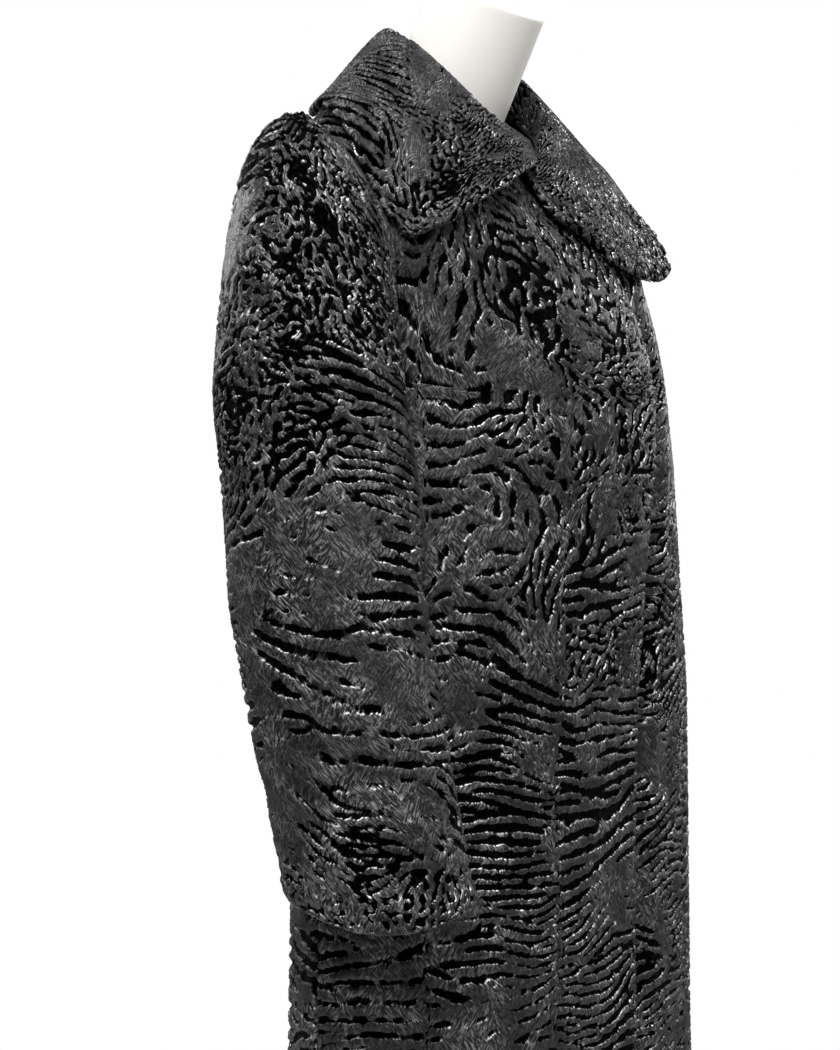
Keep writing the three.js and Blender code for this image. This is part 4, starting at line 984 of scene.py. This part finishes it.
def capPoint(side, arm, turn, s):  # from the armhole (0) to the upper arm (1)
    seamPoint, degrees, level = armholePoint(side, turn)
    normal, _ = bodyDirections(degrees, level)
    near = sleeve["nearTurn"]
    along = armholePoint(side, turn + near)[0] - armholePoint(side, turn - near)[0]
    into = unit(np.cross(normal, along)) * side
    lift = sleeve["underarmLift"] * smoothStep(-cosine(turn), *sleeve["liftTurn"])
    start = seamPoint + into * sleeve["armholeGap"] + normal * lift[..., None]
    strength = sleeve["startPull"][0] + sleeve["startPull"][1] * cosine(turn)
    crown = strength * (sleeve["crownStart"] + sleeve["crown"] * np.maximum(0, cosine(turn)) ** 2)
    sideways = strength * sleeve["intoPull"] * (1 - cosine(turn))
    startPull = into * sideways[..., None] + normal * crown[..., None]
    ring = sleeve["cap"] + sleeve["capRise"] * cosine(turn)
    end = sleevePoint(side, arm, turn, ring)
    below = sleevePoint(side, arm, turn, ring - sleeve["pullOver"])
    pull = (sleeve["endPull"][0] + sleeve["endPull"][1] * cosine(turn)) / sleeve["pullOver"]
    point = hermite(start, startPull, end, (below - end) * pull[..., None], s)
    clearance = sleeve["armholeGap"] + (sleeve["clearance"] - sleeve["armholeGap"]) * s
    offSkirt = clearOfSkirt(point, clearance, sleeve["capSoftness"])
    offYoke = clearOfYoke(point, clearance * np.minimum(1, sleeve["clearsBy"] * s), sleeve["capSoftness"])
    moved = np.where((point[..., 2] < body["chest"])[..., None], offSkirt, offYoke)
    return np.where((s > 0)[..., None], moved, point)


def makeSleeve(cut, arm):
    side = cut["side"]
    turns = 180 - side * np.linspace(0, 360, int(sleeve["round"] / cut["step"]) + 1)[:-1]
    capRows = np.linspace(0, 1, int(sleeve["capRun"] / cut["step"]))
    tubeRows = np.linspace(0, 1, int(sleeve["tubeRun"] / cut["step"]))
    turn, s = np.meshgrid(turns, capRows)
    capGrid = capPoint(side, arm, turn, s)[::-1]
    turn, s = np.meshgrid(turns, tubeRows)
    top = sleeve["cap"] + sleeve["capRise"] * cosine(turn)
    rise = sleeve["cuffRise"] * sine(turn - sleeve["cuffLowestTurn"]) ** 2
    bottom = sleeve["cuff"] + sleeve["turnedWall"] / 2 + rise
    tubeGrid = sleevePoint(side, arm, turn, bottom + (top - bottom) * s)
    inner = np.concatenate([tubeGrid[:-1], capGrid])
    capGrow = smoothStep(np.linspace(1, 0, len(capRows)), -sleeve["thins"], sleeve["thins"])
    grow = np.concatenate([np.ones(len(tubeRows) - 1), capGrow])[:, None]
    y = np.broadcast_to(distancesAlong(inner[:, inner.shape[1] // 2][:, None], 0), inner.shape[:2])
    cuffTurn = 1 - smoothStep(y, *sleeve["cuffTurn"])
    thickness = (sleeve["wall"] + (sleeve["turnedWall"] - sleeve["wall"]) * cuffTurn) * grow
    thickness = np.maximum(thickness, sleeve["thinnest"])
    surface = inner + outwardNormals(inner, True) * thickness[..., None]
    x = np.broadcast_to(np.linspace(0, sleeve["round"], inner.shape[1] + 1)[None, :-1], inner.shape[:2])
    underArm = bell(turnBetween(turns, 180), sleeve["underArm"])[None, :]
    fromSeam = smoothStep(np.arange(len(inner))[::-1], *sleeve["seamRows"])[:, None]
    relief = sleeve["seamRelief"] + (1 - sleeve["seamRelief"]) * fromSeam
    relief = (1 - sleeve["underArmPress"] * underArm) * relief
    fur, top = furOf(cut, x, y), y.max()

    def nap(px, py):  # sinks into the armhole seam
        return fur(px, py) - sleeve["seamSink"] * bell(top - py, sleeve["seamWidth"])
    normals = outwardNormals(surface, True)
    piece, area = makeShell(cut["name"], surface, normals, thickness, nap, relief, x, y, True)


makeSleeve(sleeveRight, rightArm)
makeSleeve(sleeveLeft, leftArm)
print("sleeves made")

# Collar halves: x runs along the neck, y from the neck seam over the roll to the free edge
collar = {
    "wall": 4.6, "endWall": 2.2, "endWidth": 26, "edgeSwell": 1.6, "edgeInset": 4, "edgeWidth": 16,
    "neckGap": 1, "backInset": 0.9, "throat": (4, 40), "throatDrop": 11, "standPull": 0.7,
    "rollPull": 0.5, "rollLimit": 48, "settleAlong": 0.9, "settleBack": 0.1,
    "leafClearance": 2.1, "clearSoftness": 1.5, "liftFrom": 1.15, "liftTo": 1.5,
    "lowest": 0.02, "highest": 1.99,  # across the collar: 0 is the neck seam, 1 the roll, 2 the free edge
    "backAngle": 179, "tries": (120, 240, 200), "leafMiddle": 1.6, "leafSpread": 1.25, "alongRow": 0.75,
    "reliefFrom": 0.3, "reliefTo": 0.8, "seamRelief": 0.35,
}
rollLine = mirroredCurves("angle out y height", [
    [0, 4, -35, 1339], [45, 53, -20, 1363], [90, 72, 27, 1410], [135, 52, 61, 1425], [180, 0, 81, 1428],
])
rightLeafFront = curvesOf("angle out y height", [
    [0, 6, -42, 1326], [10, 32, -56, 1319], [20, 66, -67, 1311], [30, 102, -70, 1296],
    [40, 132, -65, 1282], [50, 158, -55, 1264], [60, 179, -37, 1253],
])
rightLeafSide = curvesOf("angle out y height", [
    [60, 179, -37, 1253], [66, 186, -19, 1274], [74, 188, -2, 1307], [82, 186, 11, 1331],
    [90, 181, 24, 1343], [105, 167, 46, 1352], [125, 131, 78, 1354], [145, 88, 101, 1362],
    [163, 46, 112, 1368], [180, 0, 115, 1370],
])
leftLeafFront = curvesOf("angle out y height", [
    [4, -33, -44, 1302], [12, -28, -60, 1281], [20, -4, -72, 1274], [28, 16, -80, 1263], [36, 36, -86, 1247],
    [44, 72, -88, 1239], [52, 120, -84, 1241], [58, 163, -73, 1249],
])
leftLeafSide = curvesOf("angle out y height", [
    [58, 163, -73, 1249], [62, 173, -67, 1258], [67, 179, -56, 1275], [74, 183, -34, 1296],
    [82, 184, -8, 1322], [90, 181, 18, 1343], [105, 167, 46, 1352], [125, 131, 78, 1354],
    [145, 88, 101, 1362], [163, 46, 112, 1368], [180, 0, 115, 1370],
])
collarRight = {
    "name": "collar_rightFur", "side": -1, "front": rightLeafFront, "leaf": rightLeafSide,
    "first": 0, "corner": 60, "step": 1.5, "flat": (0.43, 0.2), "seed": 31, "seams": [],
    "patches": [
        (50, 110, 50, 60, 30, 7, 0.35, 0), (130, 110, 40, 60, 50, 8, 0.3, -0.05),
        (190, 120, 34, 60, 40, 8, 0.3, 0), (250, 100, 40, 70, 35, 11, 0.95, 0.12),
        (320, 90, 50, 70, 55, 11, 0.95, 0.1),
        (390, 90, 50, 70, 80, 11, 0.9, 0.05), (200, 30, 200, 20, 5, 9, 0.7, 0),
    ],
}
collarLeft = {
    "name": "collar_leftFur", "side": 1, "front": leftLeafFront, "leaf": leftLeafSide,
    "first": 4, "corner": 58, "step": 1.5, "flat": (0.43, 0.2), "seed": 32, "seams": [],
    "patches": [
        (340, 120, 60, 60, 80, 5.5, 0.6, 0), (240, 110, 60, 60, 30, 6, 0.35, 0),
        (120, 110, 70, 70, 85, 9, 0.85, 0), (40, 100, 50, 70, 90, 9.5, 0.9, 0),
        (200, 30, 200, 25, 5, 8, 0.7, 0),
    ],
}


def collarGrid(cut, angles, acrosses):
    side = cut["side"]
    degrees = side * angles
    seamPoint = bodyPoint(degrees, np.full(angles.shape, 2.0))
    normal, up = bodyDirections(degrees, np.full(angles.shape, 2.0))
    seamPoint = seamPoint - normal * body["wall"] + up * collar["neckGap"]
    roll = np.stack([side * rollLine["out"](angles), rollLine["y"](angles), rollLine["height"](angles)], -1)
    if side > 0:
        roll[:, 2] -= collar["throatDrop"] * (1 - smoothStep(angles, *collar["throat"]))
    front, back = [np.stack([side * curve["out"](angles), curve["y"](angles), curve["height"](angles)], -1)
                   for curve in (cut["front"], cut["leaf"])]
    edge = np.where((angles < cut["corner"])[:, None], front, back)
    fall = edge - roll
    outward = unit(fall * np.array([1, 1, 0]))
    stand = np.linalg.norm(roll - seamPoint, axis=-1, keepdims=True) * collar["standPull"]
    length = np.linalg.norm(fall, axis=-1, keepdims=True)
    low = acrosses[acrosses <= 1][:, None]
    high = acrosses[acrosses > 1][:, None]
    standing = hermite(seamPoint[None], (up * stand)[None], roll[None], (outward * stand)[None], low)
    turned = outward * np.minimum(length, collar["rollLimit"]) * collar["rollPull"]
    settle = fall * collar["settleAlong"] - outward * length * collar["settleBack"]
    leaf = hermite(roll[None], turned[None], edge[None], settle[None], high - 1)
    cleared = clearOfYoke(leaf, collar["wall"] + collar["leafClearance"], collar["clearSoftness"])
    share = smoothStep(high, collar["liftFrom"], collar["liftTo"])[..., None]
    leaf = leaf + (cleared - leaf) * share
    grid = np.concatenate([standing, leaf])
    grid[:, -1, 0] = side * (body["seamGap"] / 2 + collar["backInset"])
    return grid


def evenlyAlong(line, count):  # places along a line of points, evenly spaced by length
    along = distancesAlong(line[None], 1)[0]
    return np.interp(np.linspace(0, along[-1], count), along, np.linspace(0, 1, len(line)))


def makeCollarHalf(cut):
    side = cut["side"]
    triesFront, triesSide, triesAcross = collar["tries"]
    dense = [np.linspace(cut["first"], cut["corner"], triesFront, endpoint=False),
             np.linspace(cut["corner"], collar["backAngle"], triesSide)]
    angles = []
    for part in dense:
        line = collarGrid(cut, part, np.array([collar["leafMiddle"]]))[0]
        length = distancesAlong(line[None], 1)[0, -1] * collar["leafSpread"]
        angles.append(part[0] + (part[-1] - part[0]) * evenlyAlong(line, int(length / cut["step"])))
    angles = np.concatenate([angles[0][:-1], angles[1]])
    lowest, highest = collar["lowest"], collar["highest"]
    line = collarGrid(cut, angles[len(angles) // 2][None], np.linspace(lowest, highest, triesAcross))[:, 0]
    count = int(distancesAlong(line[None], 1)[0, -1] / cut["step"])
    acrosses = lowest + (highest - lowest) * evenlyAlong(line, count)
    grid = collarGrid(cut, angles, acrosses)
    share = smoothStep(angles, 0, collar["endWidth"])[None, :]
    thickness = collar["endWall"] + (collar["wall"] - collar["endWall"]) * share
    fromEdge = distancesAlong(grid[::-1], 0)[::-1]
    swell = collar["edgeSwell"] * bell(fromEdge - collar["edgeInset"], collar["edgeWidth"]) * share
    thickness = thickness + swell
    nearBack = bell(distancesAlong(grid[:, ::-1], 1)[:, ::-1], seamDip["width"])
    thickness = thickness - (thickness - seamDip["wall"]) * nearBack
    if side > 0:
        grid, thickness, swell, nearBack = [one[:, ::-1] for one in (grid, thickness, swell, nearBack)]
    surface = grid + outwardNormals(grid, False) * (swell - seamDip["depth"] * nearBack)[..., None]
    x = distancesAlong(surface, 1)
    x = np.broadcast_to(x[int(len(acrosses) * collar["alongRow"])][None, :], x.shape)
    y = np.broadcast_to(distancesAlong(surface[:, surface.shape[1] // 2][:, None], 0), x.shape)
    relief = smoothStep(acrosses, collar["reliefFrom"], collar["reliefTo"])
    relief = collar["seamRelief"] + (1 - collar["seamRelief"]) * relief
    relief = np.broadcast_to(relief[:, None], x.shape)
    normals, fur = outwardNormals(surface, False), furOf(cut, x, y)
    piece, area = makeShell(cut["name"], surface, normals, thickness, fur, relief, x, y, False)


makeCollarHalf(collarRight)
makeCollarHalf(collarLeft)
print("collar made")

# The dress form, smooth and whole, with a rounded neck top and a flat underside
torso = curvesOf("height halfWidth front back", [
    [690, 150, 84, 92], [700, 165, 95, 103], [780, 172, 96, 105], [900, 155, 90, 92], [990, 127, 87, 72],
    [1060, 138, 98, 80], [1135, 150, 112, 88],
])
form = {
    "bottom": 690, "top": 1.985, "square": 2.2, "shoulderInset": 9, "frontInset": 7, "insetEnd": 1.46,
    "ridge": 0.7, "ridgeHalf": 7, "ridgeLevels": (1.5, 1.6), "spread": 50,
    "neckRadius": 46, "neckTilt": 25.2, "neckFoot": (0, 40, 1368), "neckLength": 93, "edgeRound": 4,
    "columns": 112, "torsoRows": 70, "yokeRows": 60, "neckRows": 36, "rimRows": 7,
    "topRings": (0.75, 0.5, 0.25),
}


def formYoke(degrees, level):
    reach, height = bodyProfile(degrees, level)
    normal, _ = bodyDirections(degrees, level)
    angle = np.abs(turnBetween(degrees, 0))
    low = np.minimum(height, body["chest"])
    chestInset = reach - sectionReach(degrees, low, torso, form["square"], form["square"])
    yokeInset = form["shoulderInset"] + form["frontInset"] * bell(angle, form["spread"])
    inset = chestInset + (yokeInset - chestInset) * smoothStep(level, 1, form["insetEnd"])
    ridge = bell(angle - body["shoulderSeam"], form["ridgeHalf"]) * smoothStep(level, *form["ridgeLevels"])
    rest = inset + (body["wall"] + form["ridge"] - inset) * ridge
    return aroundAxis(degrees, reach, height) - normal * rest[..., None]


def neckPoint(degrees, along, radius):
    tilt = form["neckTilt"]
    centre = np.array(form["neckFoot"]) + along[..., None] * np.array([0, -sine(tilt), cosine(tilt)])
    across = np.stack([sine(degrees), -cosine(degrees) * cosine(tilt), -cosine(degrees) * sine(tilt)], -1)
    return centre + across * radius[..., None]


def makeForm():
    degrees = np.linspace(0, 360, form["columns"] + 1)[:-1]
    turn, height = np.meshgrid(degrees, np.linspace(form["bottom"], body["chest"], form["torsoRows"]))
    torsoPart = aroundAxis(turn, sectionReach(turn, height, torso, form["square"], form["square"]), height)
    turn, level = np.meshgrid(degrees, np.linspace(1, form["top"], form["yokeRows"])[1:])
    yokePart = formYoke(turn, level)
    radius, length, edgeRound = form["neckRadius"], form["neckLength"], form["edgeRound"]
    turn, along = np.meshgrid(degrees, np.linspace(0, length - edgeRound, form["neckRows"]))
    neckPart = neckPoint(turn, along, np.full(turn.shape, float(radius)))
    turn, bend = np.meshgrid(degrees, np.linspace(0, 90, form["rimRows"])[1:])
    rimPart = neckPoint(turn, length - edgeRound * (1 - sine(bend)), radius - edgeRound * (1 - cosine(bend)))
    turn, shrink = np.meshgrid(degrees, np.array(form["topRings"]))
    topPart = neckPoint(turn, np.full(turn.shape, float(length)), shrink * (radius - edgeRound))
    grid = np.concatenate([torsoPart, yokePart, neckPart, rimPart, topPart])
    numbers = np.arange(grid[..., 0].size).reshape(grid.shape[:2])
    vertices = np.concatenate([grid.reshape(-1, 3), [[0, 0, form["bottom"]]], [topPart[-1].mean(0)]])
    low, high, count = numbers[0].tolist(), numbers[-1].tolist(), numbers.size
    faces = gridFaces(numbers, True).tolist()
    for i in range(form["columns"]):
        after = (i + 1) % form["columns"]
        faces.append((low[after], low[i], count))
        faces.append((high[i], high[after], count + 1))
    piece = linkMesh("formCloth", vertices, faces, (formJersey,))
    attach(piece, "root")
    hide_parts("form")


makeForm()
print("form made")


# The stand: pole and foot from primitives with rounded edges
stand = {"poleRadius": 0.014, "baseRadius": 0.175, "baseThick": 0.012, "gap": 0.0004,
         "poleBevel": 0.0008, "baseBevel": 0.003, "corners": 96, "segments": 4, "smoothAngle": 30}


def makeRound(name, node, radius, low, high, bevel):
    bpy.ops.object.select_all(action="DESELECT")
    bpy.ops.mesh.primitive_cylinder_add(vertices=stand["corners"], radius=radius, depth=high - low,
                                        location=(0, 0, (low + high) / 2))
    piece = bpy.context.active_object
    piece.name = name
    bpy.ops.object.transform_apply(location=True, rotation=True, scale=True)
    rounding = piece.modifiers.new("rounding", "BEVEL")
    rounding.width = bevel
    rounding.segments = stand["segments"]
    rounding.limit_method = "ANGLE"
    bpy.ops.object.modifier_apply(modifier="rounding")
    bpy.ops.object.shade_smooth_by_angle(angle=math.radians(stand["smoothAngle"]))
    piece.data.materials.append(standPaint)
    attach(piece, "root")
    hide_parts(node)


poleLow = stand["baseThick"] + stand["gap"]
poleHigh = form["bottom"] * millimetre - stand["gap"]
makeRound("standPole", "pole", stand["poleRadius"], poleLow, poleHigh, stand["poleBevel"])
makeRound("standFoot", "base", stand["baseRadius"], 0, stand["baseThick"], stand["baseBevel"])

for name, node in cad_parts.items():
    if name.startswith(("hook_", "eye_")):
        for slot in node.material_slots:
            slot.material = platedWire
print("stand and fasteners made")

# Light and floor
studio = {
    "backdrop": 1.0, "surround": 0.1, "aim": (0, 0, 1.0),
    "floorSize": 4, "floorLow": 0.0005, "floor": (0.86, 0.86, 0.85), "floorRough": 0.7,
    "lamps": [  # name, place, size, power
        ("key", (-2.6, -1.2, 2.9), 0.8, 78), ("front", (1.2, -2.9, 2.0), 1.1, 22),
        ("side", (-2.9, 0.2, 2.2), 1.0, 5), ("top", (-0.7, -0.4, 3.1), 0.9, 50),
        ("rear", (0.6, 2.9, 2.1), 1.4, 34), ("left", (2.9, -0.2, 1.8), 1.2, 22),
    ],
}


def setStudio():
    scene = bpy.context.scene
    scene.view_settings.view_transform = "Standard"
    world = bpy.data.worlds.new("studio")
    world.use_nodes = True
    nodes, links = world.node_tree.nodes, world.node_tree.links
    nodes["Background"].inputs["Color"].default_value = (1, 1, 1, 1)
    path = nodes.new("ShaderNodeLightPath")
    seen = path.outputs["Is Camera Ray"]
    strength = addRange(nodes, links, seen, 0, 1, studio["surround"], studio["backdrop"])
    links.new(strength, nodes["Background"].inputs["Strength"])
    scene.world = world
    for name, place, size, power in studio["lamps"]:
        data = bpy.data.lights.new(name, "AREA")
        data.size = size
        data.energy = power
        lamp = bpy.data.objects.new(name, data)
        lamp.location = place
        lamp.rotation_euler = (Vector(studio["aim"]) - Vector(place)).to_track_quat("-Z", "Y").to_euler()
        scene.collection.objects.link(lamp)
    bpy.ops.object.select_all(action="DESELECT")
    bpy.ops.mesh.primitive_plane_add(size=studio["floorSize"], location=(0, 0, -studio["floorLow"]))
    floor = bpy.context.active_object
    floor.name = "floor"
    paper, _, _, shader = newMaterial("palePaper")
    shader.inputs["Base Color"].default_value = (*studio["floor"], 1)
    shader.inputs["Roughness"].default_value = studio["floorRough"]
    floor.data.materials.append(paper)


setStudio()
